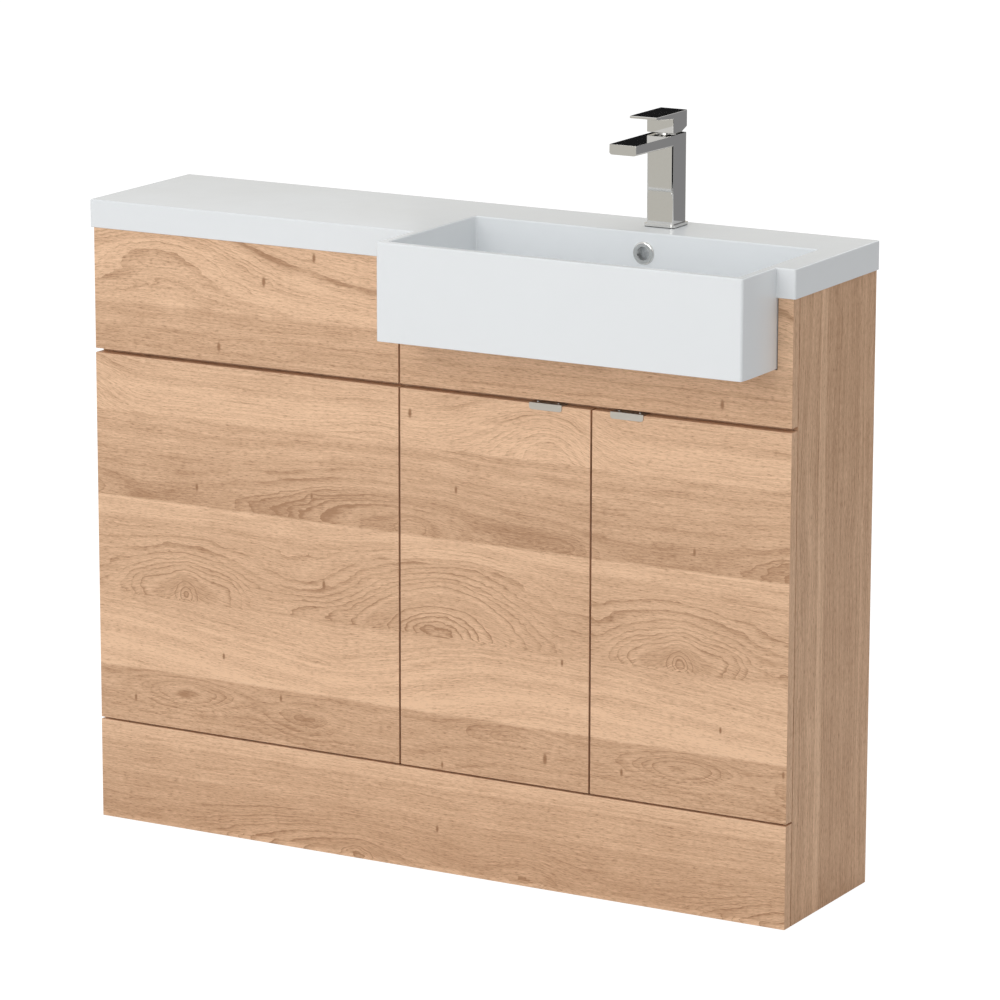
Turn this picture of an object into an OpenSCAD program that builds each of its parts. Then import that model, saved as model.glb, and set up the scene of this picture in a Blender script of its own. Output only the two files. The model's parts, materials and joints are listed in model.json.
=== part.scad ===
// Bathroom furniture run: a toilet unit with plain panels beside a vanity unit with two doors,
// under one cast worktop with a semi-recessed basin and a square single-lever tap.
// Origin: centre of the footprint, on the floor. +X runs along the fronts, +Y to the wall, +Z up.

/* [Cabinets] */
// Width of the toilet unit
wc_w = 500; // [420:10:700]
// Width of the vanity unit
van_w = 600; // [600:10:900]
// Depth from the face of the fronts to the wall
body_d = 253; // [250:1:330]
// Height of both cabinets without the worktop
body_h = 864; // [830:1:900]
// Thickness of sides, rails, base and shelf
board_t = 18; // [16:1:20]
// Thickness of doors, panels and plinth
front_t = 18; // [18:1:20]
// Air gap between the closed doors and the carcass
front_gap = 1.5; // [1.5:0.1:2.5]
// Height of the plinth
plinth_h = 145; // [100:1:180]
// Gap between the plinth and the fronts above it
plinth_gap = 3; // [2:0.5:6]
// Height of the two top panels
fascia_h = 174; // [165:1:220]
// Finger gap below the top panels
fascia_gap = 6; // [4:0.5:10]
// Upright gap between neighbouring fronts
panel_gap = 3; // [2:0.5:4]
// Height of the upright rails
rail_h = 90; // [80:1:110]
// How far the doors overlap the rail above them
rail_lap = 12; // [10:1:16]

/* [Shelf] */
// Height of the shelf's top above the vanity base
shelf_up = 234; // [180:1:280]
// Depth of the shelf
shelf_d = 180; // [140:1:190]
// Play at each end of the shelf
shelf_play = 0.5; // [0.3:0.1:1]
// Diameter of the shelf pins
shelf_pin_d = 5; // [4:0.5:6]
// Distance between the rows of pin holes
system_pitch = 32; // [25:1:40]

/* [Worktop] */
// Thickness of the worktop's edge
top_t = 40; // [34:1:60]
// Overhang past the fronts and both ends
top_over = 4; // [0:0.5:12]
// Thickness of the worktop over its hollow underside
top_skin = 15; // [12:1:20]
// Radius of the worktop's upright corners
top_corner_r = 3; // [1:0.5:8]
// Width of the hollow worktop's rims on the side boards
rim_side = 26; // [24:1:40]
// Width of the rim over the fronts
rim_front = 40; // [38:1:46]
// Width of the rim along the wall
rim_back = 22; // [19:0.5:23]

/* [Basin] */
// Outer width of the basin
basin_w = 552; // [500:1:552]
// How far the basin stands out in front of the fronts
basin_reach = 102; // [60:1:130]
// Height of the basin's apron, from the worktop's top
basin_apron = 136; // [130:1:140]
// Thickness of the basin's walls at the rim
basin_wall = 13; // [11:0.5:16]
// Distance from the wall to the back of the bowl
bowl_back = 106; // [100:1:112]
// Depth of the bowl
bowl_depth = 108; // [90:1:112]
// Radius of the bowl's upright corners
bowl_corner_r = 4; // [2:1:30]
// Radius between the bowl's walls and its floor
bowl_floor_r = 12; // [4:1:30]
// Radius of the basin's outer upright corners
basin_corner_r = 4; // [2:0.5:10]
// Clearance between the basin and the notch in its panel
notch_play = 1.5; // [1:0.1:3]
// Depth of the overflow's centre below the worktop
overflow_down = 29; // [26:1:34]
// Diameter of the overflow hole
overflow_d = 22; // [18:1:24]
// Width of the overflow trim's rim
overflow_rim = 5; // [3:0.5:6]

/* [Waste and trap] */
// Distance of the waste from the back of the bowl
waste_in = 72; // [70:1:80]
// Diameter of the waste hole in the basin
waste_hole_d = 44; // [43:0.5:46]
// Outer diameter of the threaded waste tube
waste_tube_d = 41; // [38:0.5:42]
// Diameter of the waste's flange
waste_flange_d = 64; // [56:1:66]
// Wall of the waste tube
waste_wall = 3; // [2:0.5:4]
// Length of the waste below the basin
waste_tail = 56; // [50:1:70]
// Travel of the push-up plug
plug_travel = 9; // [5:1:10]
// Outer diameter of the bottle trap's cup
trap_d = 62; // [58:1:64]
// Height of the bottle trap's cup
trap_cup_h = 70; // [60:1:80]
// Outer diameter of the outlet pipe
outlet_d = 32; // [30:1:34]
// Wall of the trap and pipe
trap_wall = 3; // [2:0.5:3.5]

/* [Tap] */
// Width of the tap's column and spout
tap_w = 41; // [38:0.5:46]
// Depth of the tap's column
tap_d = 40; // [38:0.5:44]
// Distance from the wall to the centre of the tap
tap_back = 41; // [40:0.5:43]
// Height of the tap's column above the worktop
tap_h = 128; // [110:1:160]
// Reach of the spout in front of the column
spout_reach = 108; // [80:1:120]
// Thickness of the spout at its tip
spout_tip_t = 14; // [13:0.5:18]
// Thickness of the spout at the column
spout_root_t = 16; // [14:0.5:22]
// Radius of the spout's lower edges
spout_edge_r = 4; // [2:0.5:5]
// Radius of the column's upright edges
tap_edge_r = 3; // [1:0.5:5]
// Height of the tap's foot
foot_h = 3.5; // [2:0.5:6]
// How far the foot stands out round the column
foot_out = 3; // [1:0.5:5]
// Thickness of the rubber gasket under the foot
gasket_t = 1; // [0.5:0.5:2]
// Diameter of the tap hole in the worktop
tap_hole_d = 35; // [33:1:36]
// Height of the gap between the column and the lever
neck_gap = 2.4; // [2.2:0.1:4]
// Height of the lever's block
lever_h = 28.6; // [26:0.5:34]
// How far the lever's blade reaches in front of its block
blade_reach = 50; // [30:1:60]
// Thickness of the blade at its tip
blade_tip_t = 3.5; // [2.5:0.5:6]
// Thickness of the blade at the block
blade_root_t = 8.5; // [6:0.5:12]
// Diameter of the valve cartridge
cartridge_d = 25; // [23:0.5:26]

/* [Hinges and pulls] */
// Distance of the hinges from the ends of the doors
hinge_end = 95; // [80:1:120]
// Diameter of the hinge cups
cup_d = 35; // [34:0.5:35]
// Depth of the hinge cups
cup_deep = 11.5; // [11:0.1:12.5]
// Wood left between a cup and the door's edge
cup_edge = 4.5; // [4:0.5:5]
// Wall of the pressed cup
cup_wall = 0.8; // [0.6:0.1:1]
// Diameter of the hinge pins
hinge_pin_d = 3; // [2.5:0.5:3]
// Width of the hinge link
link_w = 12; // [10:0.5:13]
// Thickness of the hinge link
link_t = 2.4; // [1.6:0.2:2.6]
// Width of each door pull
pull_w = 50; // [30:1:80]
// How far a pull drops over the face of its door
pull_drop = 8; // [5:1:15]
// Thickness of the pulls
pull_t = 1.5; // [1:0.5:2]
// Radius of the pulls' lower corners
pull_r = 4; // [1:0.5:4.5]
// Distance of the left pull from the middle of the vanity unit
pull_left_in = 45; // [10:1:150]
// Distance of the right pull from the middle of the vanity unit
pull_right_in = 29.5; // [10:0.5:150]

/* [Fits] */
// Radial clearance of turning and sliding fits
run_fit = 0.08; // [0.02:0.01:0.1]
// Radial clearance of dowels, pins and clips in their holes
peg_fit = 0.05; // [0:0.01:0.2]
// Clearance between parts that pass each other
pass_gap = 0.4; // [0.3:0.1:0.8]

/* [Hidden] */
$fn = 64;
eps = 0.01;
// Facets of the rounded corners that are joined by hulls
hull_fn = 32;

// Places along the fronts
x_left = -(wc_w + van_w) / 2;
x_mid = x_left + wc_w;
x_right = x_mid + van_w;
van_x = x_mid + van_w / 2;

// Places between the basin's front and the wall
y_back = (body_d + basin_reach) / 2;
y_front = y_back - body_d;
y_panel_back = y_front + front_t;
y_carc = y_panel_back + front_gap;
y_rail_back = y_back - board_t;
y_basin = y_front - basin_reach;
y_bowl_front = y_basin + basin_wall;
y_bowl_back = y_back - bowl_back;
y_waste = y_bowl_back - waste_in;
y_tap = y_back - tap_back;

// Heights
z_base = plinth_h + plinth_gap;
z_base_top = z_base + board_t;
z_fascia = body_h - fascia_h;
z_door_top = z_fascia - fascia_gap;
z_top = body_h + top_t;
z_skin = z_top - top_skin;
z_apron = z_top - basin_apron;
z_floor = z_top - bowl_depth;
z_overflow = z_top - overflow_down;
z_shelf = z_base_top + shelf_up - board_t;

// Rails
rail_edge = 25;
z_rail_top = body_h - rail_h;
z_wc_mid = z_fascia - rail_h / 2;
z_van_front = z_door_top - rail_lap;
van_front_under = 4;
van_front_h = z_apron - van_front_under - z_van_front;
wall_hole_d = 8;
wall_hole_in = 80;
z_wall_hole = z_rail_top + rail_h / 2;

// Glued dowels at the ends of the rails and the base: [y, z] of each
dowel_d = 8;
dowel_in_side = 12;
dowel_in_rail = 16;
base_dowel_in = 40;
function rail_dowels(y, z, h) =
    [[y + board_t / 2, z + rail_edge], [y + board_t / 2, z + h - rail_edge]];
wc_dowel_at = concat(
    rail_dowels(y_rail_back, z_rail_top, rail_h),
    rail_dowels(y_carc, z_rail_top, rail_h),
    rail_dowels(y_carc, z_wc_mid, rail_h),
    rail_dowels(y_carc, z_base, rail_h));
van_dowel_at = concat(
    rail_dowels(y_rail_back, z_rail_top, rail_h),
    rail_dowels(y_rail_back, z_base_top, rail_h),
    rail_dowels(y_carc, z_van_front, van_front_h),
    [for (y = [y_carc + base_dowel_in, y_back - base_dowel_in]) [y, z_base + board_t / 2]]);

// Push-fit clips that hold the fixed fronts: [x, z] of each
clip_d = 16;
clip_peg_d = 8;
clip_peg = 9;
clip_in = 90;
clip_side = board_t / 2;
clip_at = concat(
    [for (x = [x_left + clip_in, x_mid - clip_in], z = [z_rail_top + rail_h / 2, z_fascia + rail_h / 4,
        z_fascia - fascia_gap - rail_h / 4, z_base + rail_h / 2]) [x, z]],
    [for (x = [x_mid + clip_side, x_mid + clip_in, x_right - clip_in, x_right - clip_side])
        [x, z_van_front + van_front_h / 2]],
    [for (x = [x_left + clip_side, x_mid - clip_side, x_mid + clip_side, x_right - clip_side])
        [x, plinth_h / 2]]);

// Bolts that join the two cabinets: [y, z] of each
bolt_d = 8;
bolt_head_d = 15;
bolt_head_t = 2;
bolt_in = 70;
bolt_at = [for (y = [y_carc + bolt_in, y_back - bolt_in], z = [z_base_top + rail_h, z_door_top - rail_h])
    [y, z]];

// Shelf and its pins: [y, z] of each row of holes
y_shelf = y_rail_back - shelf_d;
pin_in = 30;
pin_in_side = 10;
pin_out = 8;
pin_rows = [for (y = [y_shelf + pin_in, y_rail_back - pin_in], n = [-1:1])
    [y, z_shelf - shelf_pin_d / 2 + n * system_pitch]];

// Doors: place of the outer front corner, and how it lies beside its side board
door_left_x0 = x_mid + panel_gap / 2;
door_left_x1 = van_x - panel_gap / 2;
door_right_x0 = van_x + panel_gap / 2;
door_h = z_door_top - z_base;
hinge_z = [z_base + hinge_end, z_door_top - hinge_end];
bumper_d = 9;
bumper_t = front_gap - 0.1;
bumper_in = 12;
bumper_z = [z_base + board_t / 2, z_door_top - rail_lap / 2];

// Hinge: places from the door's outer front corner, x towards the middle, y towards the wall
cup_x = cup_edge + cup_d / 2;
cup_in_r = cup_d / 2 - cup_wall;
cup_flange_t = 1.2;
cup_flange_out = 1.5;
wing_w = 13;
wing_z = 24;
wing_x = 6;
wing_hole_d = 4;
cup_pin_x = 10;
cup_pin_y = front_t - 3.5;
arm_pin_x = 34;
arm_pin_y = front_t + 12;
pin_r = hinge_pin_d / 2;
link_boss_r = 3;
link_bow = 12;
link_dx = arm_pin_x - cup_pin_x;
link_dy = arm_pin_y - cup_pin_y;
link_l = norm([link_dx, link_dy]);
link_turn = atan2(link_dy, link_dx);
link_r = (pow(link_l / 2, 2) + pow(link_bow, 2)) / (2 * link_bow);
link_side_gap = 0.6;
cup_lip_cut = 1;
cheek_t = 3;
cheek_in = link_w / 2 + link_side_gap;
arm_t = 1.5;
arm_nose_r = 4;
arm_web_x = arm_pin_x + 4;
arm_foot_x = arm_pin_x - 8;
arm_web_start = 6;
arm_l = 50;
plate_y = front_t + front_gap + 37;
plate_base_t = 2.5;
plate_wing_w = 14;
plate_screw_d = 5;
plate_screw_deep = 12;
plate_block_l = 30;

// Waste, plug and overflow channel
dish_deep = 3;
dish_r = 66;
z_seat = z_floor - dish_deep;
flange_t = 2.5;
flange_play = 2;
z_tail = z_apron - waste_tail;
bridge_t = 6;
bridge_down = 26;
bridge_hole_d = 6.5;
bridge_hole_r = 10.5;
plug_stem_r = 4;
plug_cap_r = waste_flange_d / 2 - 1;
plug_cap_t = 4;
plug_lift = 0.3;
z_bridge = z_seat - bridge_down;
channel_r = 7;
channel_wall = 5;
y_channel = y_bowl_back + basin_wall;
z_duct = z_apron + 12;
duct_r = 5;
waste_nut_h = 10;
waste_nut_d = 58;
waste_window_h = 14;
waste_window_w = 10;

// Bottle trap
trap_nut_d = 54;
trap_nut_h = 26;
trap_head_r = trap_d / 2 - 1;
trap_head_h = 50;
trap_neck_r = 23;
trap_neck_h = 22;
dip_r = 16;
dip_wall = 1.5;
dip_l = 100;
skirt_r = trap_d / 2 - trap_wall - peg_fit;
skirt_h = 18;
z_neck = z_tail;
z_head_top = z_neck - trap_neck_h;
z_head_bottom = z_head_top - trap_head_h;
z_outlet = z_head_top - trap_head_h / 2;
branch_r = outlet_d / 2 + trap_wall;
branch_l = trap_head_r + 22;
outlet_nut_d = 48;
outlet_nut_h = 20;
outlet_nut_lip = 6;
outlet_in = 12;
outlet_spigot_step = 0.3;
y_outlet_nut = y_waste + branch_l + outlet_nut_lip;

// Tap
foot_z = z_top + gasket_t;
z_tap_top = z_top + tap_h;
y_tap_front = y_tap - tap_d / 2;
y_spout_tip = y_tap_front - spout_reach;
nut_r = cartridge_d / 2 + 1.5;
nut_h = 12;
nut_up = 1.6;
nut_bore_r = nut_r + peg_fit;
cartridge_r = cartridge_d / 2;
cartridge_h = 34;
z_cartridge_top = z_tap_top + nut_up - nut_h - nut_up;
z_cartridge = z_cartridge_top - cartridge_h;
carrier_r = 9;
carrier_down = 8;
carrier_up = 4;
z_carrier = z_cartridge_top - carrier_down;
z_carrier_top = z_tap_top + carrier_up;
z_pivot = z_tap_top - 2;
stem_w = 7;
stem_d = 8;
stem_down = 10;
stem_side_gap = 0.1;
stem_slot_d = 15;
stem_pin_r = 1.5;
stem_pin_l = 16;
z_lever = z_tap_top + neck_gap;
z_lever_top = z_lever + lever_h;
lever_recess_r = 16.5;
lever_recess_h = 6;
lever_chamfer_y = 15;
lever_chamfer_z = 5.9;
stem_in_lever = 20;
grub_r = 2.5;
grub_key = 2.5;
grub_up = 14;
waterway_r = 4.5;
aerator_r = 8.5;
aerator_in = 17;
aerator_h = 9;
aerator_wall = 1.2;
aerator_low = 0.5;
inlet_r = 5;
inlet_deep = 12;
inlet_x = 8;
inlet_y = 5;
stud_r = 4;
stud_y = 12;
stud_in = 14;
stud_l = 50;
clamp_w = 50;
clamp_d = 30;
clamp_t = 3;
clamp_slot = 32;
clamp_lip = 12;
stud_nut_af = 13;
stud_nut_h = 8;

wood = "burlywood";
carcass_wood = "tan";
resin = "whitesmoke";
chrome = "silver";
steel = "lightgray";

// A board between two corners
module board(x0, x1, y0, y1, z0, z1) {
    translate([x0, y0, z0]) cube([x1 - x0, y1 - y0, z1 - z0]);
}

// A flat shape with round corners, centred
module round_square(w, d, r) {
    for (x = [r - w / 2, w / 2 - r], y = [r - d / 2, d / 2 - r]) translate([x, y]) circle(r);
    square([w - 2 * r, d], center = true);
    square([w, d - 2 * r], center = true);
}

// A flat shape with two round lower corners, standing on y = 0
module round_foot(w, h, r) {
    for (x = [r - w / 2, w / 2 - r]) translate([x, r]) circle(r);
    translate([r - w / 2, 0]) square([w - 2 * r, h]);
    translate([-w / 2, r]) square([w, h - r]);
}

// Holes or pegs along X at a list of [y, z]
module pegs_x(at, x, length, d) {
    for (p = at) translate([x, p[0], p[1]]) rotate([0, 90, 0]) cylinder(d = d, h = length);
}

// Holes or pegs along Y at a list of [x, z]
module pegs_y(at, y, length, d) {
    for (p = at) translate([p[0], y, p[1]]) rotate([-90, 0, 0]) cylinder(d = d, h = length);
}

module clip_holes() {
    pegs_y(clip_at, y_panel_back - clip_peg - peg_fit, 2 * clip_peg + front_gap + 2 * peg_fit,
        clip_peg_d + 2 * peg_fit);
}

// Holes for the dowels of one cabinet, from x0 to x1 between its side boards
module dowel_holes(at, x0, x1) {
    length = dowel_in_side + dowel_in_rail + 2 * peg_fit;
    pegs_x(at, x0 - dowel_in_side - peg_fit, length, dowel_d + 2 * peg_fit);
    pegs_x(at, x1 - dowel_in_rail - peg_fit, length, dowel_d + 2 * peg_fit);
}

module wc_dowel_holes() {
    dowel_holes(wc_dowel_at, x_left + board_t, x_mid - board_t);
}

module van_dowel_holes() {
    dowel_holes(van_dowel_at, x_mid + board_t, x_right - board_t);
}

module bolt_holes() {
    pegs_x(bolt_at, x_mid - board_t - eps, 2 * board_t + 2 * eps, bolt_d + 2 * peg_fit);
}

// Room for the basin, cut from the boards that it reaches
module basin_room() {
    half = basin_w / 2 + notch_play;
    board(van_x - half, van_x + half, y_front - eps, y_channel + notch_play, z_apron - notch_play,
        body_h + eps);
}

// Toilet unit

module wc_side_left() {
    color(wood) difference() {
        board(x_left, x_left + board_t, y_carc, y_back, 0, body_h);
        wc_dowel_holes();
        clip_holes();
    }
}

module wc_side_right() {
    color(carcass_wood) difference() {
        board(x_mid - board_t, x_mid, y_carc, y_back, 0, body_h);
        wc_dowel_holes();
        clip_holes();
        bolt_holes();
        basin_room();
    }
}

// An upright rail of the toilet unit
module wc_rail(y, z) {
    color(carcass_wood) difference() {
        board(x_left + board_t, x_mid - board_t, y, y + board_t, z, z + rail_h);
        wc_dowel_holes();
        clip_holes();
        if (y > y_carc) wall_holes(x_left, x_mid);
    }
}

// Two holes for wall screws in the rail between two side boards
module wall_holes(x0, x1) {
    pegs_y([[x0 + wall_hole_in, z_wall_hole], [x1 - wall_hole_in, z_wall_hole]],
        y_rail_back - eps, board_t + 2 * eps, wall_hole_d);
}

module wc_rail_rear() { wc_rail(y_rail_back, z_rail_top); }
module wc_rail_front_top() { wc_rail(y_carc, z_rail_top); }
module wc_rail_front_middle() { wc_rail(y_carc, z_wc_mid); }
module wc_rail_front_bottom() { wc_rail(y_carc, z_base); }

module wc_fascia() {
    color(wood) difference() {
        board(x_left, x_mid - panel_gap / 2, y_front, y_panel_back, z_fascia, body_h);
        clip_holes();
        basin_room();
    }
}

module wc_front_panel() {
    color(wood) difference() {
        board(x_left, x_mid - panel_gap / 2, y_front, y_panel_back, z_base, z_door_top);
        clip_holes();
    }
}

// Vanity unit

// Holes for the shelf pins and the hinge plates' screws, on the inner face at x, into dir
module side_drilling(x, dir) {
    pegs_x(pin_rows, x - (dir > 0 ? eps : pin_in_side + peg_fit), pin_in_side + peg_fit + eps,
        shelf_pin_d + 2 * peg_fit);
    screws = [for (z = hinge_z, s = [-1, 1]) [y_front + plate_y, z + s * system_pitch / 2]];
    pegs_x(screws, x - (dir > 0 ? eps : plate_screw_deep), plate_screw_deep + eps, plate_screw_d);
}

module vanity_side_left() {
    color(carcass_wood) difference() {
        board(x_mid, x_mid + board_t, y_carc, y_back, 0, body_h);
        van_dowel_holes();
        clip_holes();
        bolt_holes();
        side_drilling(x_mid + board_t, -1);
        basin_room();
    }
}

module vanity_side_right() {
    color(wood) difference() {
        board(x_right - board_t, x_right, y_carc, y_back, 0, body_h);
        van_dowel_holes();
        clip_holes();
        side_drilling(x_right - board_t, 1);
        basin_room();
    }
}

module vanity_base() {
    color(carcass_wood) difference() {
        board(x_mid + board_t, x_right - board_t, y_carc, y_back, z_base, z_base_top);
        van_dowel_holes();
    }
}

module vanity_shelf() {
    color(carcass_wood) board(x_mid + board_t + shelf_play, x_right - board_t - shelf_play,
        y_shelf, y_rail_back, z_shelf, z_shelf + board_t);
}

// An upright rail of the vanity unit
module vanity_rail(y, z, h) {
    color(carcass_wood) difference() {
        board(x_mid + board_t, x_right - board_t, y, y + board_t, z, z + h);
        van_dowel_holes();
        clip_holes();
        if (y > y_carc && z > z_base_top) wall_holes(x_mid, x_right);
    }
}

module vanity_rail_front() { vanity_rail(y_carc, z_van_front, van_front_h); }
module vanity_rail_rear_top() { vanity_rail(y_rail_back, z_rail_top, rail_h); }
module vanity_rail_rear_bottom() { vanity_rail(y_rail_back, z_base_top, rail_h); }

// Top panel of the vanity unit, notched round the basin
module vanity_fascia() {
    color(wood) difference() {
        board(x_mid + panel_gap / 2, x_right, y_front, y_panel_back, z_fascia, body_h);
        basin_room();
        clip_holes();
    }
}

module plinth() {
    color(wood) difference() {
        board(x_left, x_right, y_front, y_panel_back, 0, plinth_h);
        clip_holes();
    }
}

// Pegs and fasteners of the carcass

module carcass_dowels() {
    length = dowel_in_side + dowel_in_rail;
    color("wheat") {
        for (x = [x_left + board_t - dowel_in_side, x_mid - board_t - dowel_in_rail])
            pegs_x(wc_dowel_at, x, length, dowel_d);
        for (x = [x_mid + board_t - dowel_in_side, x_right - board_t - dowel_in_rail])
            pegs_x(van_dowel_at, x, length, dowel_d);
    }
}

module panel_clips() {
    color("dimgray") {
        pegs_y(clip_at, y_panel_back - clip_peg, 2 * clip_peg + front_gap, clip_peg_d);
        pegs_y(clip_at, y_panel_back, front_gap, clip_d);
    }
}

module shelf_pins() {
    at = [for (p = pin_rows) if (abs(p[1] + shelf_pin_d / 2 - z_shelf) < 1) p];
    color(steel) {
        pegs_x(at, x_mid + board_t - pin_in_side, pin_in_side + pin_out, shelf_pin_d);
        pegs_x(at, x_right - board_t - pin_out, pin_in_side + pin_out, shelf_pin_d);
    }
}

module connecting_bolts() {
    color(steel) {
        pegs_x(bolt_at, x_mid - board_t - bolt_head_t, 2 * (board_t + bolt_head_t), bolt_d);
        for (x = [x_mid - board_t - bolt_head_t, x_mid + board_t])
            pegs_x(bolt_at, x, bolt_head_t, bolt_head_d);
    }
}

// Worktop and basin

// Hollow of the bowl: upright corners from the plan, rounded into the floor along all four walls
module bowl_hollow() {
    w = basin_w - 2 * basin_wall;
    d = y_bowl_back - y_bowl_front;
    h = bowl_depth + 1;
    translate([van_x, y_bowl_front + d / 2, z_floor]) intersection() {
        linear_extrude(h) round_square(w, d, bowl_corner_r);
        rotate([90, 0, 0]) linear_extrude(d + 2, center = true) round_foot(w, h, bowl_floor_r);
        rotate([90, 0, 90]) linear_extrude(w + 2, center = true) round_foot(d, h, bowl_floor_r);
    }
    translate([van_x, y_waste, z_seat])
        cylinder(r1 = waste_flange_d / 2 + flange_play, r2 = dish_r, h = dish_deep);
}

// Overflow hole, channel behind the bowl and duct to the waste
module overflow_passage() {
    translate([van_x, y_bowl_back - channel_wall, z_overflow]) rotate([-90, 0, 0])
        cylinder(d = overflow_d, h = channel_wall + y_channel - y_bowl_back);
    translate([van_x, y_channel, z_duct]) cylinder(r = channel_r, h = z_overflow - z_duct);
    translate([van_x, y_waste, z_duct]) rotate([-90, 0, 0])
        cylinder(r = duct_r, h = y_channel - y_waste);
}

module worktop_basin() {
    slab_w = wc_w + van_w + 2 * top_over;
    slab_d = body_d + top_over;
    basin_d = y_bowl_back + basin_wall - y_basin;
    y_pocket = y_channel + channel_r + channel_wall;
    color(resin) difference() {
        union() {
            translate([0, y_back - slab_d / 2, body_h]) linear_extrude(top_t)
                round_square(slab_w, slab_d, top_corner_r);
            translate([van_x, y_basin + basin_d / 2, z_apron]) linear_extrude(basin_apron)
                round_square(basin_w, basin_d, basin_corner_r);
            board(van_x - channel_r - channel_wall, van_x + channel_r + channel_wall,
                y_bowl_back, y_pocket, z_apron, body_h + eps);
        }
        bowl_hollow();
        overflow_passage();
        board(x_left - top_over + rim_side, x_mid - rim_side + top_over, y_front - top_over + rim_front,
            y_back - rim_back, body_h - eps, z_skin);
        board(x_mid + rim_side - top_over, x_right + top_over - rim_side, y_pocket,
            y_back - rim_back, body_h - eps, z_skin);
        translate([van_x, y_waste, z_apron - eps]) cylinder(d = waste_hole_d, h = bowl_depth);
        translate([van_x, y_tap, body_h]) cylinder(d = tap_hole_d, h = top_t + eps);
    }
}

// Chromed trim ring pressed into the overflow hole, with a rounded rim
module overflow_ring() {
    bead = overflow_rim / 2;
    inner = overflow_d / 2 - 1.5;
    spigot = 8;
    color(chrome) translate([van_x, y_bowl_back, z_overflow]) rotate([90, 0, 0]) rotate_extrude() {
        translate([inner, -spigot]) square([overflow_d / 2 - inner - peg_fit, spigot]);
        translate([inner, 0]) square([overflow_d / 2 + overflow_rim - bead - inner, bead]);
        translate([overflow_d / 2 + overflow_rim - bead, 0]) intersection() {
            circle(bead);
            square(bead);
        }
    }
}

// Waste with its flange, threaded tube, overflow windows and the plug's guide bridge
module waste_body() {
    tube_r = waste_tube_d / 2;
    color(chrome) translate([van_x, y_waste, 0]) difference() {
        union() {
            translate([0, 0, z_seat]) cylinder(r1 = waste_flange_d / 2, r2 = waste_flange_d / 2 - 1,
                h = flange_t);
            translate([0, 0, z_tail]) cylinder(r = tube_r, h = z_seat - z_tail + eps);
        }
        translate([0, 0, z_bridge]) cylinder(r = tube_r - waste_wall, h = bridge_down + flange_t + 1);
        translate([0, 0, z_tail - eps])
            cylinder(r = tube_r - waste_wall, h = z_bridge - bridge_t - z_tail + eps);
        translate([0, 0, z_bridge - bridge_t - eps])
            cylinder(r = plug_stem_r + run_fit, h = bridge_t + 2 * eps);
        for (a = [0:60:300]) rotate(a) translate([bridge_hole_r, 0, z_bridge - bridge_t - eps])
            cylinder(d = bridge_hole_d, h = bridge_t + 2 * eps);
        for (a = [0, 90]) rotate(a) translate([0, 0, z_duct])
            cube([waste_window_w, waste_tube_d + 1, waste_window_h], center = true);
    }
}

// Flanged nut that draws the waste up against the basin
module waste_nut() {
    color(steel) translate([van_x, y_waste, z_apron - waste_nut_h]) difference() {
        union() {
            cylinder(d = waste_nut_d - 6, h = waste_nut_h, $fn = 8);
            translate([0, 0, waste_nut_h - 3]) cylinder(d = waste_nut_d, h = 3);
        }
        translate([0, 0, -eps]) cylinder(d = waste_tube_d + 2 * peg_fit, h = waste_nut_h + 2 * eps);
    }
}

// Push-up plug: a low dome on a stem that slides in the waste's bridge
module waste_plug() {
    z_cap = z_seat + flange_t + plug_lift;
    stem_l = z_cap - z_bridge + bridge_t;
    dome_r = (pow(plug_cap_r, 2) + pow(plug_cap_t / 2, 2)) / plug_cap_t;
    color(chrome) translate([van_x, y_waste, z_cap]) {
        rotate_extrude() {
            square([plug_cap_r, plug_cap_t / 2]);
            intersection() {
                translate([0, plug_cap_t - dome_r]) circle(dome_r, $fn = 256);
                square([plug_cap_r, plug_cap_t]);
            }
        }
        translate([0, 0, -stem_l]) cylinder(r = plug_stem_r, h = stem_l + eps);
    }
}

// Bottle trap

module trap_inlet_nut() {
    color(chrome) translate([van_x, y_waste, z_neck - trap_nut_h + 6]) rotate_extrude() difference() {
        square([trap_nut_d / 2, trap_nut_h]);
        square([trap_neck_r + peg_fit, trap_nut_h - 6]);
        square([waste_tube_d / 2 + peg_fit, trap_nut_h + 1]);
    }
}

// Trap head with its neck, dip tube, skirt and side branch
module trap_body() {
    color(chrome) translate([van_x, y_waste, 0]) difference() {
        union() {
            translate([0, 0, z_head_bottom]) cylinder(r = trap_head_r, h = trap_head_h - 4);
            translate([0, 0, z_head_top - 4]) cylinder(r1 = trap_head_r, r2 = trap_neck_r, h = 4);
            translate([0, 0, z_head_top]) cylinder(r = trap_neck_r, h = trap_neck_h);
            translate([0, 0, z_head_bottom - skirt_h]) cylinder(r = skirt_r, h = skirt_h);
            translate([0, 0, z_outlet]) rotate([-90, 0, 0]) cylinder(r = branch_r, h = branch_l);
        }
        difference() {
            union() {
                translate([0, 0, z_head_bottom - skirt_h - eps])
                    cylinder(r = skirt_r - trap_wall, h = skirt_h + trap_head_h - 6);
                translate([0, 0, z_outlet]) rotate([-90, 0, 0])
                    cylinder(d = outlet_d + 2 * peg_fit, h = branch_l + eps);
            }
            translate([0, 0, z_head_bottom - skirt_h]) cylinder(r = dip_r + dip_wall, h = trap_head_h * 2);
        }
        translate([0, 0, z_head_bottom - skirt_h - eps]) cylinder(r = dip_r, h = trap_head_h * 2);
    }
    color(chrome) translate([van_x, y_waste, z_neck - dip_l]) difference() {
        cylinder(r = dip_r + dip_wall, h = dip_l - trap_neck_h - trap_head_h - skirt_h + eps);
        translate([0, 0, -eps]) cylinder(r = dip_r, h = dip_l);
    }
}

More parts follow.
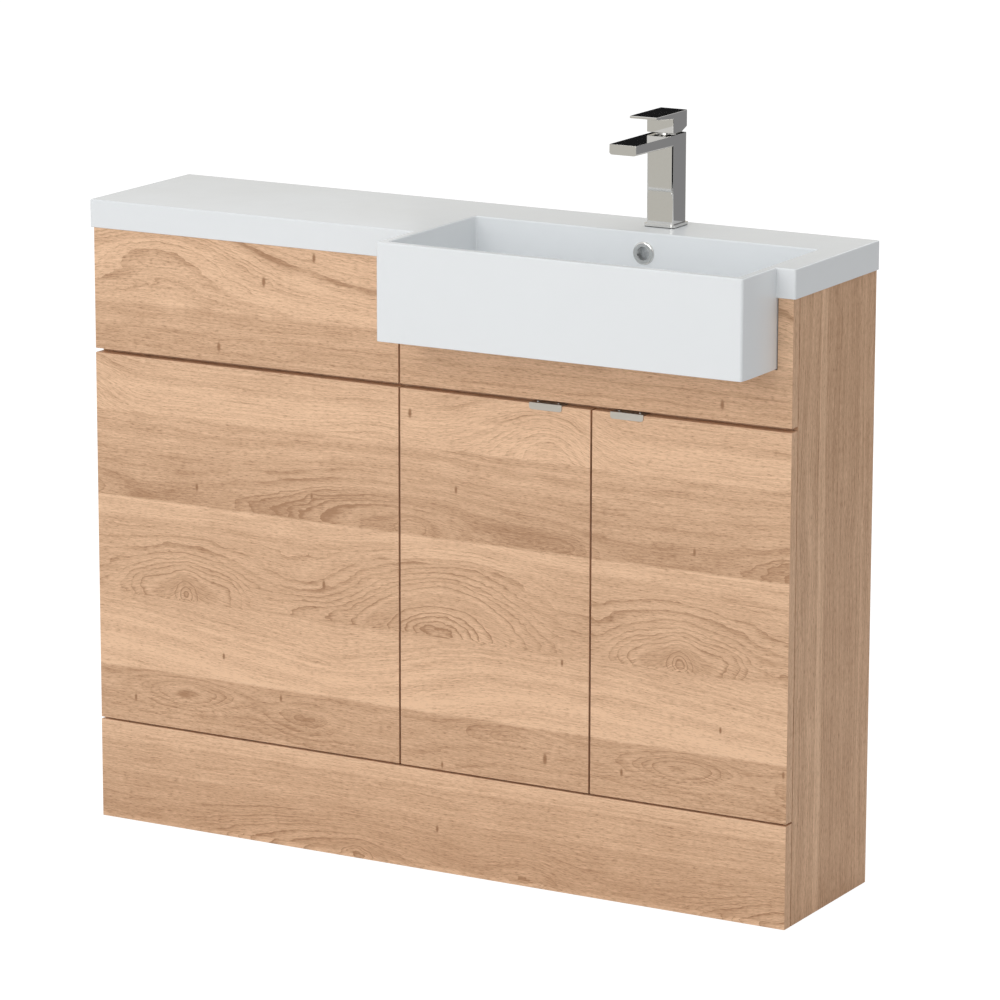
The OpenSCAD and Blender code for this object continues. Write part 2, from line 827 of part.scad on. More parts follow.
// Cup that screws over the trap's skirt, with a rounded floor
module trap_cup() {
    r = trap_d / 2;
    floor_r = 10;
    color(chrome) translate([van_x, y_waste, z_head_bottom - trap_cup_h]) rotate_extrude()
        difference() {
            cup_outline(r, trap_cup_h, floor_r);
            translate([0, trap_wall]) cup_outline(r - trap_wall, trap_cup_h, floor_r - trap_wall);
        }
}

// Half section of a cup with a rounded lower corner
module cup_outline(r, h, corner) {
    square([r - corner, h]);
    translate([0, corner]) square([r, h - corner]);
    translate([r - corner, corner]) intersection() {
        circle(corner);
        translate([0, -corner]) square(corner);
    }
}

module trap_outlet_nut() {
    color(chrome) translate([van_x, y_outlet_nut - outlet_nut_h, z_outlet]) rotate([-90, 0, 0])
        rotate_extrude() difference() {
            square([outlet_nut_d / 2, outlet_nut_h]);
            square([branch_r + peg_fit, outlet_nut_h - outlet_nut_lip]);
            square([outlet_d / 2 + peg_fit, outlet_nut_h + 1]);
        }
}

// Outlet pipe from the trap to the wall, a little thinner where the nut holds it
module trap_outlet_pipe() {
    inside = outlet_in + outlet_nut_lip;
    y0 = y_outlet_nut - inside;
    color(chrome) translate([van_x, y0, z_outlet]) rotate([-90, 0, 0]) difference() {
        union() {
            cylinder(d = outlet_d - 2 * outlet_spigot_step, h = inside + eps);
            translate([0, 0, inside]) cylinder(d = outlet_d, h = y_back - y_outlet_nut);
        }
        translate([0, 0, -eps]) cylinder(d = outlet_d - 2 * trap_wall, h = y_back - y0 + 2 * eps);
    }
}

// Tap

module tap_gasket() {
    color("black") translate([van_x, y_tap, z_top]) linear_extrude(gasket_t) difference() {
        round_square(tap_w + 2 * foot_out - 2, tap_d + 2 * foot_out - 2, tap_edge_r);
        circle(d = tap_hole_d - 2);
    }
}

// A cross-section of the spout, one step long, whose tip side lies at y
module spout_section(y, t) {
    translate([0, y + eps, z_tap_top - t]) rotate([90, 0, 0]) linear_extrude(eps)
        round_foot(tap_w, t, spout_edge_r, $fn = hull_fn);
}

// Column, foot and spout, with the cartridge's bore, the waterway and the connections below
module tap_body() {
    foot_w = tap_w + 2 * foot_out;
    y_aerator = y_spout_tip + aerator_in;
    aerator_top = z_tap_top - spout_tip_t - aerator_low + aerator_h;
    z_waterway = aerator_top - waterway_r / 2;
    color(chrome) difference() {
        union() {
            translate([van_x, y_tap, foot_z]) linear_extrude(foot_h)
                round_square(foot_w, foot_w - tap_w + tap_d, tap_edge_r + foot_out / 2);
            translate([van_x, y_tap, foot_z]) linear_extrude(z_tap_top - foot_z)
                round_square(tap_w, tap_d, tap_edge_r);
            translate([van_x, 0, 0]) hull() {
                spout_section(y_spout_tip, spout_tip_t);
                spout_section(y_tap_front + tap_edge_r + 1, spout_root_t);
            }
        }
        translate([van_x, y_tap, z_cartridge]) cylinder(r = cartridge_r + peg_fit, h = tap_h);
        translate([van_x, y_tap, z_cartridge_top]) cylinder(r = nut_bore_r, h = tap_h);
        translate([van_x, y_aerator, z_tap_top - spout_root_t - 2])
            cylinder(r = aerator_r + peg_fit, h = aerator_top - z_tap_top + spout_root_t + 2);
        translate([van_x, y_aerator, z_waterway]) rotate([-90, 0, 0])
            cylinder(r = waterway_r, h = y_tap - y_aerator - cartridge_r + 2);
        for (s = [-1, 1]) translate([van_x + s * inlet_x, y_tap - inlet_y, foot_z - eps])
            cylinder(r = inlet_r, h = inlet_deep + eps);
        translate([van_x, y_tap + stud_y, foot_z - eps]) cylinder(r = stud_r + peg_fit, h = stud_in + eps);
    }
}

// Flow straightener in the spout, with a web of round holes
module tap_aerator() {
    z = z_tap_top - spout_tip_t - aerator_low;
    plate = 2;
    color("gray") translate([van_x, y_spout_tip + aerator_in, z]) difference() {
        cylinder(r = aerator_r, h = aerator_h - pass_gap);
        translate([0, 0, plate]) cylinder(r = aerator_r - aerator_wall, h = aerator_h);
        for (ring = [[1, 0], [6, 2.9], [12, 5.6]], n = [0:ring[0] - 1])
            rotate(n * 360 / ring[0]) translate([ring[1], 0, -eps]) cylinder(d = 2, h = plate + 1);
    }
}

// Valve cartridge with the pocket that its carrier turns in
module tap_cartridge() {
    color("white") translate([van_x, y_tap, 0]) difference() {
        translate([0, 0, z_cartridge]) cylinder(r = cartridge_r, h = cartridge_h);
        translate([0, 0, z_carrier]) cylinder(r = carrier_r + run_fit, h = carrier_down + eps);
    }
}

// Ring nut over the cartridge: its collar is the neck seen under the lever
module tap_cartridge_nut() {
    collar_r = nut_r - 1;
    color(chrome) translate([van_x, y_tap, z_cartridge_top]) rotate_extrude() difference() {
        union() {
            square([nut_r, nut_h - 1]);
            square([collar_r, nut_h + nut_up]);
        }
        square([carrier_r + pass_gap, nut_h + nut_up + 1]);
    }
}

module tap_stud() {
    color(steel) translate([van_x, y_tap + stud_y, foot_z + stud_in - stud_l])
        cylinder(r = stud_r, h = stud_l);
}

// Horseshoe plate under the worktop, open to the front round the hoses
module tap_clamp_plate() {
    color(steel) translate([van_x, y_tap, z_skin - clamp_t]) linear_extrude(clamp_t) difference() {
        translate([0, clamp_d / 2 - clamp_lip]) square([clamp_w, clamp_d], center = true);
        translate([-clamp_slot / 2, -clamp_d]) square([clamp_slot, clamp_d + stud_y - 2 * stud_r]);
        translate([0, stud_y]) circle(stud_r + peg_fit);
    }
}

module tap_stud_nut() {
    color("goldenrod") translate([van_x, y_tap + stud_y, z_skin - clamp_t - stud_nut_h]) difference() {
        cylinder(d = stud_nut_af / cos(30), h = stud_nut_h, $fn = 6);
        translate([0, 0, -eps]) cylinder(r = stud_r + peg_fit, h = stud_nut_h + 2 * eps);
    }
}

// Turning carrier of the cartridge, slotted for the stem and drilled for its pin
module tap_carrier() {
    color("gray") translate([van_x, y_tap, 0]) difference() {
        translate([0, 0, z_carrier + run_fit])
            cylinder(r = carrier_r, h = z_carrier_top - z_carrier - run_fit);
        translate([0, 0, z_carrier_top]) cube([stem_w + 2 * stem_side_gap, stem_slot_d,
            2 * (z_carrier_top - z_pivot + stem_down + 1)], center = true);
        translate([0, 0, z_pivot]) rotate([0, 90, 0])
            cylinder(r = stem_pin_r + run_fit, h = 3 * carrier_r, center = true);
    }
}

// Square stem that tilts in the carrier on its cross pin
module tap_stem() {
    top = z_lever + stem_in_lever;
    color(steel) translate([van_x, y_tap, 0]) {
        translate([-stem_w / 2, -stem_d / 2, z_pivot - stem_down])
            cube([stem_w, stem_d, top - z_pivot + stem_down]);
        translate([0, 0, z_pivot]) rotate([0, 90, 0])
            cylinder(r = stem_pin_r, h = stem_pin_l, center = true);
    }
}

// Lever: a square block with a thin blade to the front and a chamfered lower back edge
module tap_lever() {
    y0 = -tap_d / 2;
    y1 = tap_d / 2;
    side = [[y0 - blade_reach, z_lever_top], [y0 - blade_reach, z_lever_top - blade_tip_t],
        [y0, z_lever_top - blade_root_t], [y0, z_lever], [y1 - lever_chamfer_y, z_lever],
        [y1, z_lever + lever_chamfer_z], [y1, z_lever_top]];
    color(chrome) translate([van_x, y_tap, 0]) difference() {
        translate([-tap_w / 2, 0, 0]) rotate([90, 0, 90]) linear_extrude(tap_w) polygon(side);
        translate([0, 0, z_lever - 1]) cylinder(r = lever_recess_r, h = lever_recess_h + 1);
        translate([-stem_w / 2, -stem_d / 2, z_lever]) cube([stem_w, stem_d, stem_in_lever + pass_gap]);
        translate([0, 0, z_lever + grub_up]) rotate([-90, 0, 0])
            cylinder(r = grub_r + peg_fit, h = tap_d);
    }
}

// Grub screw through the back of the lever onto the stem
module tap_lever_screw() {
    length = 10;
    color(steel) translate([van_x, y_tap + stem_d / 2, z_lever + grub_up]) rotate([-90, 0, 0])
        difference() {
            cylinder(r = grub_r, h = length);
            translate([0, 0, length - 3]) cylinder(d = grub_key / cos(30), h = 4, $fn = 6);
        }
}

// Concealed hinges

// Places its children at both hinges of the left door, or mirrored at those of the right door
module at_hinges(left) {
    for (z = hinge_z) {
        if (left) translate([door_left_x0, y_front, z]) children();
        else translate([x_right, y_front, z]) mirror([1, 0, 0]) children();
    }
}

// Face of the side board, seen from the door's outer edge
function side_face(left) = left ? board_t - panel_gap / 2 : board_t;

// Plate on the side board, with two screw holes and the block that the arm clips over
module hinge_plate(left) {
    x0 = side_face(left);
    rotate([90, 0, 90]) translate([0, 0, x0]) linear_extrude(plate_base_t) difference() {
        union() {
            for (s = [-1, 1]) translate([plate_y, s * system_pitch / 2]) circle(d = plate_wing_w);
            translate([plate_y, 0]) square([plate_wing_w, system_pitch], center = true);
        }
        for (s = [-1, 1]) translate([plate_y, s * system_pitch / 2]) circle(d = plate_screw_d);
    }
    translate([x0, plate_y - plate_block_l / 2, -cheek_in])
        cube([arm_web_x - x0, plate_block_l, 2 * cheek_in]);
}

module hinge_plates() {
    color(steel) for (left = [true, false]) at_hinges(left) hinge_plate(left);
}

// Arm: a channel whose two cheeks carry the link's pin
module hinge_arm() {
    y_end = arm_pin_y + arm_l;
    difference() {
        for (s = [-1, 1]) translate([0, 0, s * (cheek_in + arm_t / 2)]) linear_extrude(arm_t, center = true) {
            translate([arm_pin_x, arm_pin_y]) circle(arm_nose_r);
            polygon([[arm_pin_x - arm_nose_r, arm_pin_y], [arm_pin_x + arm_nose_r, arm_pin_y],
                [arm_web_x + arm_t, arm_pin_y + arm_web_start], [arm_web_x + arm_t, y_end],
                [arm_foot_x, y_end], [arm_foot_x, arm_pin_y + 2 * arm_web_start]]);
        }
        translate([arm_pin_x, arm_pin_y, 0]) cylinder(r = pin_r, h = link_w * 2, center = true);
    }
    translate([arm_web_x, arm_pin_y + arm_web_start, -cheek_in - eps])
        cube([arm_t, arm_l - arm_web_start, 2 * (cheek_in + eps)]);
}

module hinge_arms() {
    color(steel) for (left = [true, false]) at_hinges(left) hinge_arm();
}

module hinge_arm_pins() {
    color(steel) for (left = [true, false]) at_hinges(left) translate([arm_pin_x, arm_pin_y, 0])
        cylinder(r = pin_r, h = 2 * (cheek_in + arm_t), center = true);
}

// Bow-shaped link, drawn along its chord from the cup's pin to the arm's pin
module hinge_link() {
    translate([cup_pin_x, cup_pin_y, 0]) rotate(link_turn) linear_extrude(link_w, center = true)
        difference() {
            union() {
                intersection() {
                    translate([link_l / 2, link_r - link_bow]) difference() {
                        circle(link_r + link_t / 2);
                        circle(link_r - link_t / 2);
                    }
                    translate([-link_t, -2 * link_bow]) square([link_l + 2 * link_t, 2 * link_bow]);
                }
                for (x = [0, link_l]) translate([x, 0]) circle(link_boss_r);
            }
            for (x = [0, link_l]) translate([x, 0]) circle(pin_r + run_fit);
        }
}

// Cup with its screw wings, the two cheeks that hold the pin, and a lip cut away for the open link
module hinge_cup() {
    translate([cup_x, front_t, 0]) rotate([90, 0, 0]) {
        difference() {
            union() {
                cylinder(d = cup_d, h = cup_deep);
                translate([0, 0, -cup_flange_t]) linear_extrude(cup_flange_t) {
                    circle(d = cup_d + 2 * cup_flange_out);
                    for (s = [-1, 1]) translate([wing_x, s * wing_z]) circle(d = wing_w);
                    translate([wing_x, 0]) square([wing_w, 2 * wing_z], center = true);
                }
            }
            difference() {
                translate([0, 0, -cup_flange_t - eps])
                    cylinder(r = cup_in_r, h = cup_flange_t + cup_deep - cup_wall + eps);
                for (s = [-1, 1]) translate([cup_pin_x - cup_x - link_boss_r,
                    s > 0 ? cheek_in : -cheek_in - cheek_t, front_t - cup_pin_y - link_boss_r])
                    cube([2 * link_boss_r, cheek_t, cup_deep]);
            }
            for (s = [-1, 1]) translate([wing_x, s * wing_z, -cup_flange_t - eps])
                cylinder(d = wing_hole_d, h = cup_flange_t + 2 * eps);
            translate([-cup_d, -cheek_in, -cup_flange_t - eps])
                cube([cup_d - cup_in_r + 2, 2 * cheek_in, cup_flange_t + cup_lip_cut + eps]);
            cup_pin_local();
        }
    }
}

// Pin of a cup, in the cup's own frame
module cup_pin_local() {
    translate([cup_pin_x - cup_x, 0, front_t - cup_pin_y]) rotate([90, 0, 0])
        cylinder(r = pin_r, h = 2 * (cheek_in + cheek_t), center = true);
}

module cup_pin() {
    translate([cup_x, front_t, 0]) rotate([90, 0, 0]) cup_pin_local();
}

// Doors

// A door board between x0 and x1, drilled for the cups of its two hinges
module door_board(x0, x1, left) {
    color(wood) difference() {
        board(x0, x1, y_front, y_panel_back, z_base, z_door_top);
        at_hinges(left) translate([cup_x, front_t + eps, 0]) rotate([90, 0, 0])
            cylinder(d = cup_d, h = cup_deep + eps);
    }
}

// Angle pull on the top edge of a door, with its lip over the face, centred on x
module pull(x) {
    color(steel) {
        translate([x, y_front, z_door_top - pull_drop]) rotate([90, 0, 0]) linear_extrude(pull_t)
            round_foot(pull_w, pull_drop + pull_t, pull_r);
        translate([x - pull_w / 2, y_front - eps, z_door_top]) cube([pull_w, front_t - 1, pull_t]);
    }
}

// Two bumpers on the back of a door, on the base and on the rail
module bumpers(x) {
    color("whitesmoke") pegs_y([for (z = bumper_z) [x, z]], y_panel_back, bumper_t, bumper_d);
}

module door_left() { door_board(door_left_x0, door_left_x1, true); }
module door_left_pull() { pull(van_x - pull_left_in - pull_w / 2); }
module door_left_hinge_cups() { color(steel) at_hinges(true) hinge_cup(); }
module door_left_cup_pins() { color(steel) at_hinges(true) cup_pin(); }
module door_left_bumpers() { bumpers(door_left_x1 - bumper_in); }
module door_left_links() { color(steel) at_hinges(true) hinge_link(); }

module door_right() { door_board(door_right_x0, x_right, false); }
module door_right_pull() { pull(van_x + pull_right_in + pull_w / 2); }
module door_right_hinge_cups() { color(steel) at_hinges(false) hinge_cup(); }
module door_right_cup_pins() { color(steel) at_hinges(false) cup_pin(); }
module door_right_bumpers() { bumpers(door_right_x0 + bumper_in); }
module door_right_links() { color(steel) at_hinges(false) hinge_link(); }

wc_side_left();
wc_side_right();
wc_rail_rear();
wc_rail_front_top();
wc_rail_front_middle();
wc_rail_front_bottom();
wc_fascia();
wc_front_panel();
vanity_side_left();
vanity_side_right();
vanity_base();
vanity_shelf();
vanity_rail_front();
vanity_rail_rear_top();
vanity_rail_rear_bottom();
vanity_fascia();
plinth();
carcass_dowels();
panel_clips();
shelf_pins();
connecting_bolts();
worktop_basin();
overflow_ring();
waste_body();
waste_nut();
waste_plug();
trap_inlet_nut();
trap_body();
trap_cup();
trap_outlet_nut();
trap_outlet_pipe();
tap_gasket();
tap_body();
tap_aerator();
tap_cartridge();
tap_cartridge_nut();
tap_stud();
tap_clamp_plate();
tap_stud_nut();
tap_carrier();
tap_stem();
tap_lever();
tap_lever_screw();
hinge_plates();
hinge_arms();
hinge_arm_pins();
door_left();
door_left_pull();
door_left_hinge_cups();
door_left_cup_pins();
door_left_bumpers();
door_left_links();
door_right();
door_right_pull();
door_right_hinge_cups();
door_right_cup_pins();
door_right_bumpers();
door_right_links();
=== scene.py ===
"""Looks of the bathroom run: toilet unit and vanity unit with basin and tap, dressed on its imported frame."""

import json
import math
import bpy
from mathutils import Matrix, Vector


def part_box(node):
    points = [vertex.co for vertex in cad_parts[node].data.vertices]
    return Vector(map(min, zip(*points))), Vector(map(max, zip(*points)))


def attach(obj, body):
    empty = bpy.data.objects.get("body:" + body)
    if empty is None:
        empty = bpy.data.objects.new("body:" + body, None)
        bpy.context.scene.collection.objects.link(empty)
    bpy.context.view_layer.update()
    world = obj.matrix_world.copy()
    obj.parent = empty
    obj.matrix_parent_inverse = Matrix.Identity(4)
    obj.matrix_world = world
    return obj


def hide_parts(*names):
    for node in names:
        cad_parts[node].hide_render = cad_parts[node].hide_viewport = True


bl_info = {
    "name": "Bathroom run looks",
    "version": (1, 0, 0),
    "blender": (4, 5, 0),
    "location": "3D View > Sidebar > Bathroom run",
    "description": "Dresses the packed bathroom run: oak boards, cast resin, chrome tap, hinges and screws",
    "category": "Object",
}

import bmesh
import bpy
from bpy.props import FloatProperty, FloatVectorProperty, IntProperty, PointerProperty
from mathutils import Matrix, Vector

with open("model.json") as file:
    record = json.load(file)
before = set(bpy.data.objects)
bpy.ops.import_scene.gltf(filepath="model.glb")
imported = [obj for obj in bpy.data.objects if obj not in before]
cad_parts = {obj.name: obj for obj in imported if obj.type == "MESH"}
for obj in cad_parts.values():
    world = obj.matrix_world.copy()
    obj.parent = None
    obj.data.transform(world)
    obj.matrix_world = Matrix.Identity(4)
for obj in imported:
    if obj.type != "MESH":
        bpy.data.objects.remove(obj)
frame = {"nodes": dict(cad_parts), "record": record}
SLOT_OF = {row["node"]: row["material_slot"] for row in frame["record"]["subparts"]}
BODY_OF = {node: body for body, nodes in frame["record"]["behaviour"]["bodies"].items() for node in nodes}
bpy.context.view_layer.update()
MM = 0.001
FINISH = "finish_"
# Points closer than SAME are one, and an edge within NEAR of a height or a face lies on it
SAME = 0.002 * MM
NEAR = 0.3 * MM


# Sizes and colours


def tint(red, green, blue):
    """A colour given in the 0 to 255 steps of a display, as linear light."""
    parts = [value / 255 for value in (red, green, blue)]
    return tuple(part / 12.92 if part <= 0.04045 else ((part + 0.055) / 1.055) ** 2.4 for part in parts)


def colour(name, description, shade):
    return FloatVectorProperty(name=name, description=description, subtype="COLOR", size=3, min=0, max=1,
                               default=tint(*shade))


def length(name, description, millimetres):
    return FloatProperty(name=name, description=description, subtype="DISTANCE", unit="LENGTH", min=0,
                         precision=5, default=millimetres * MM)


def fraction(name, description, value):
    return FloatProperty(name=name, description=description, subtype="FACTOR", min=0, max=1, default=value)


def power(name, description, watts):
    return FloatProperty(name=name, description=description, subtype="POWER", unit="POWER", min=0,
                         default=watts)


class OakLooks(bpy.types.PropertyGroup):
    light: colour("Light wood", "Colour of the lightest wood", (239, 200, 165))
    streak: colour("Dark wood", "Colour of the darkest growth lines", (174, 134, 102))
    pore: colour("Pores", "Colour of the short pores", (134, 94, 64))
    rings: FloatProperty(name="Rings", description="Growth lines in a metre across the grain", min=0,
                         default=125)
    repeat: length("Print repeat", "Length after which the printed grain repeats along the fronts", 790)
    edge: length("Board edge", "Rounding of the boards' edges", 0.3)
    roughness: fraction("Roughness", "Roughness of the foil on the boards", 0.5)


class ResinLooks(bpy.types.PropertyGroup):
    white: colour("Gel coat", "Colour of the cast resin's gel coat", (232, 235, 237))
    rim_edge: length("Rim edge", "Rounding of the worktop's and the bowl's upper edges", 2)
    lower_edge: length("Lower edge", "Rounding of the apron's and the worktop's lower edges", 1.5)


class MetalLooks(bpy.types.PropertyGroup):
    chrome: colour("Chrome", "Colour of the chrome plate", (216, 215, 212))
    nickel: colour("Nickel", "Colour of the hinges", (190, 187, 180))
    aluminium: colour("Satin aluminium", "Colour of the door pulls", (198, 193, 184))
    tap_edge: length("Tap edge", "Largest rounding of the tap's outer edges", 0.75)
    plate_edge: length("Sheet metal edge", "Rounding of the edges of pulls and hinge parts", 0.3)


class ScrewLooks(bpy.types.PropertyGroup):
    plate_head: length("Plate screw head", "Head diameter of the hinge plates' screws", 8.5)
    cup_head: length("Cup screw head", "Head diameter of the hinge cups' screws", 7.0)
    arm_head: length("Arm screw head", "Head diameter of the hinge arms' adjusting screws", 6.5)
    pull_head: length("Pull screw head", "Head diameter of the door pulls' screws", 4.5)
    seed: IntProperty(name="Seed", description="Seed of the turns of the screw heads", default=7, min=0)


class RibLooks(bpy.types.PropertyGroup):
    count: IntProperty(name="Ribs", description="Grip ribs round each nut of the trap", default=28, min=3)
    width: length("Rib width", "Width of a grip rib", 1.8)
    proud: length("Rib height", "How far a grip rib stands out of its nut", 0.6)
    pitch: length("Thread pitch", "Pitch of the thread on the tap's fixing stud", 1.25)
    depth: length("Thread depth", "How far the thread stands out of the stud", 0.2)


class StageLooks(bpy.types.PropertyGroup):
    world: FloatProperty(name="Room light", description="Strength of the light from all round", min=0,
                         default=0.56)
    key: power("Front light", "Power of the large light in front", 95)
    top: power("Top light", "Power of the large light above", 24)
    back: power("Back light", "Power of the large light behind", 42)
    shadow: fraction("Floor shadow", "How much of the object's shadow the floor shows", 0.25)


class RunLooks(bpy.types.PropertyGroup):
    oak: PointerProperty(type=OakLooks, name="Oak", description="Oak-look boards")
    resin: PointerProperty(type=ResinLooks, name="Resin", description="Cast worktop with the basin")
    metal: PointerProperty(type=MetalLooks, name="Metal", description="Tap, hinges and pulls")
    screws: PointerProperty(type=ScrewLooks, name="Screws", description="Visible screws")
    ribs: PointerProperty(type=RibLooks, name="Ribs and thread",
                          description="Ribs of the trap nuts, thread of the stud")
    stage: PointerProperty(type=StageLooks, name="Stage", description="Studio light and floor")


def looks():
    return bpy.context.scene.bathroom_run


# Node trees


def connect(tree, node, sockets):
    """Give a node's sockets, by name or number, a value or a link."""
    for key, value in sockets.items():
        if isinstance(value, bpy.types.NodeSocket):
            tree.links.new(value, node.inputs[key])
        else:
            node.inputs[key].default_value = value


def add(tree, kind, sockets=None, **settings):
    """A node with its settings and sockets."""
    made = tree.nodes.new(kind)
    for name, value in settings.items():
        setattr(made, name, value)
    connect(tree, made, sockets or {})
    return made


def calc(tree, operation, *values, clamp=False):
    return add(tree, "ShaderNodeMath", dict(enumerate(values)), operation=operation,
               use_clamp=clamp).outputs[0]


def vector_calc(tree, operation, *values):
    made = add(tree, "ShaderNodeVectorMath", dict(enumerate(values)), operation=operation)
    return made.outputs["Value" if operation == "DOT_PRODUCT" else "Vector"]


def joined(tree, x=0.0, y=0.0, z=0.0):
    return add(tree, "ShaderNodeCombineXYZ", {"X": x, "Y": y, "Z": z}).outputs[0]


def noise(tree, place, scale=1.0, detail=2.0, roughness=0.5, kind="3D"):
    """Noise at a place, or along one number if its kind is 1D, so that equal numbers give equal tones."""
    return add(tree, "ShaderNodeTexNoise", {"W" if kind == "1D" else "Vector": place, "Scale": scale,
                                            "Detail": detail, "Roughness": roughness},
               noise_dimensions=kind).outputs["Fac"]


def layer(tree, along, across, rates, detail=2.0, roughness=0.5):
    """Noise with its own number of spots in a metre along and across the grain, around 0."""
    place = joined(tree, calc(tree, "MULTIPLY", along, rates[0]), calc(tree, "MULTIPLY", across, rates[1]))
    return calc(tree, "SUBTRACT", noise(tree, place, detail=detail, roughness=roughness), 0.5)


def spread(tree, value, low, high, to_low=0.0, to_high=1.0):
    return add(tree, "ShaderNodeMapRange", {"Value": value, "From Min": low, "From Max": high,
                                            "To Min": to_low, "To Max": to_high}).outputs["Result"]


def blend_colours(tree, factor, *ends):
    first, second = (end if isinstance(end, bpy.types.NodeSocket) else (*end, 1) for end in ends)
    return add(tree, "ShaderNodeMix", {0: factor, 6: first, 7: second}, data_type="RGBA").outputs[2]


def ramp(tree, value, stops, kind="LINEAR"):
    """A number that runs through (place, number) stops, or jumps at each of them if its kind is CONSTANT."""
    made = add(tree, "ShaderNodeValToRGB", {"Fac": value})
    made.color_ramp.interpolation = kind
    elements = made.color_ramp.elements
    elements.remove(elements[1])
    for number, (place, level) in enumerate(stops):
        element = elements[0] if number == 0 else elements.new(place)
        element.position = place
        element.color = (level, level, level, 1)
    return made.outputs["Color"]


def bump(tree, height, distance):
    return add(tree, "ShaderNodeBump", {"Height": height, "Distance": distance, "Strength": 1.0}).outputs[0]


def finish_material(name, build):
    """A material whose shader sockets come from build(tree, coordinates)."""
    material = bpy.data.materials.new(name)
    material.use_nodes = True
    tree = material.node_tree
    connect(tree, tree.nodes["Principled BSDF"], build(tree, add(tree, "ShaderNodeTexCoord")))


# Oak print: places along the fronts and up from the floor, in millimetres

# Planks of the printed fronts, from the floor up: top of each, darkness at its lower and at its upper edge,
# height of the axis that its growth lines run round, or 0 where they run straight, and how close they lie
FRONT_PLANKS = (
    (5, 0.34, 0.34, 2, 1.0), (72, 0.62, 0.54, 2, 0.8), (122, 0.46, 0.42, 2, 1.0), (147, 0.28, 0.24, 2, 1.0),
    (230, 0.52, 0.56, 205, 0.7), (338, 0.1, 0.34, 0, 1.0), (440, 0.5, 0.46, 340, 0.4),
    (479, 0.46, 0.12, 340, 0.6), (604, 0.66, 0.38, 487, 0.55), (646, 0.2, 0.2, 0, 1.0),
    (687, 0.3, 0.36, 0, 1.0), (762, 0.6, 0.5, 0, 1.0), (870, 0.24, 0.36, 0, 0.9))

# Swells of the growth lines by plank, as its lower and upper edge, then for each swell its place, its half
# widths, how far it lifts the lines, and how dark the lines are drawn there
FRONT_SWELLS = (
    (0, 147, ((-140, 2, 170, 60, 50, 0.0), (-250, 12, 120, 40, 0, 0.8), (-118, 12, 28, 22, 12, 0.5),
        (150, 22, 60, 36, 22, 0.4))),
    (147, 230, ((-400, 200, 80, 30, 30, 0.5), (-214, 180, 70, 30, 22, 0.4), (120, 215, 70, 20, 16, 0.35),
        (-60, 150, 120, 40, 20, 0.2))),
    (230, 338, ((-550, 300, 330, 200, 60, 0.0), (60, 320, 120, 80, 18, 0.1))),
    (338, 479, ((-402, 352, 20, 28, 22, 0.5), (-402, 340, 85, 50, 36, 0.6), (-330, 366, 30, 20, 8, 0.2),
        (-470, 360, 35, 18, 8, 0.3), (-402, 410, 140, 50, 14, 0.45), (10, 338, 125, 60, 63.8, 0.9),
        (75, 350, 60, 40, 0, 0.4), (40, 430, 150, 70, 30, 0.4), (-200, 400, 60, 30, -8, 0.3),
        (-200, 350, 60, 24, 10, 0.5))),
    (479, 604, ((-60, 487, 190, 70, 52, 0.0), (-180, 500, 110, 36, 0, 1.1), (-30, 487, 30, 20, 10, 0.4),
        (200, 492, 60, 26, 16, 0.35))),
    (604, 687, ((-590, 640, 70, 70, 50, 0.3), (120, 650, 90, 70, 34, 0.25), (-100, 640, 70, 40, 10, 0.2))),
    (762, 870, ((-440, 860, 210, 80, 75, 0.5), (-120, 830, 120, 50, 0, 0.3))),
)

# Knots of the printed fronts: place and size
FRONT_KNOTS = (
    (-382, 506, 3), (-173, 390, 3.5), (-490, 185, 3), (-340, 265, 2.8), (-245, 216, 2.8), (-33, 650, 4),
    (40, 550, 3), (207, 327, 3), (181, 187, 4.5), (18, 156, 2.6), (-343, 712, 3.8), (-268, 811, 4.2),
    (-186, 852, 3.8), (-192, 515, 2.6), (10, 62, 3))

# Patches of darker wood on the printed fronts: place and half widths
FRONT_STAINS = (
    (-214, 176, 60, 18), (94, 218, 50, 10), (-402, 352, 60, 22), (-40, 350, 80, 16), (-180, 495, 130, 22),
    (150, 500, 80, 18))

# Layers of the print: rates count spots in a metre, through the growth lines or along and across the grain,
# and shares say how much a layer darkens the wood
BAND_RATE, BAND_SHARE = 60, 0.22
WANDER_RATE, WANDER = 34, 4.6
LINE_SHARPNESS, LINE_MEAN, LINE_FAINTEST = 4.5, 0.17, 0.14
CLOUD_RATES, CLOUD_SHARE, CLOUD_ON_LINES = (9, 36), 0.45, 1.5
FIBRE_RATES, FIBRE_SHARE = (18, 460), 0.85
FLECK_RATES, FLECK_SHARE = (105, 850), 1.2
PORE_DEPTH = 0.05 * MM

# Waves that push the growth lines aside: rates along and across, reach in metres, start along the grain
FRONT_WAVES = ((4.5, 14, 0.015, 0), (24, 60, 0.0065, 9), (75, 110, 0.0030, 5))
UPRIGHT_WAVES = ((2.4, 7, 0.060, 0), (20, 60, 0.0035, 4))
INNER_WAVES = ((2.2, 8, 0.060, 2), (18, 60, 0.0035, 7))

# Width of a seam between planks, how round the lines turn at a plank's axis, and how far each plank's lines
# are moved from the last one's: in small steps that are multiplied, since a ramp holds numbers up to 1
SEAM = 0.6 * MM
AXIS_ROUND = 16 * MM
SHIFT_STEP, SHIFT_TIMES = 0.07, 7.0

# Planks of the upright boards: where each starts, in metres across the board, and its darkness. Their starts
# are counted from a place ahead of zero, and their darkness moves their growth lines apart.
UPRIGHT_PLANKS = ((0.0, 0.64), (0.215, 0.56), (0.306, 0.34), (0.326, 0.66), (0.43, 0.54))
UPRIGHT_START, UPRIGHT_SHIFT = 0.3, 5.0

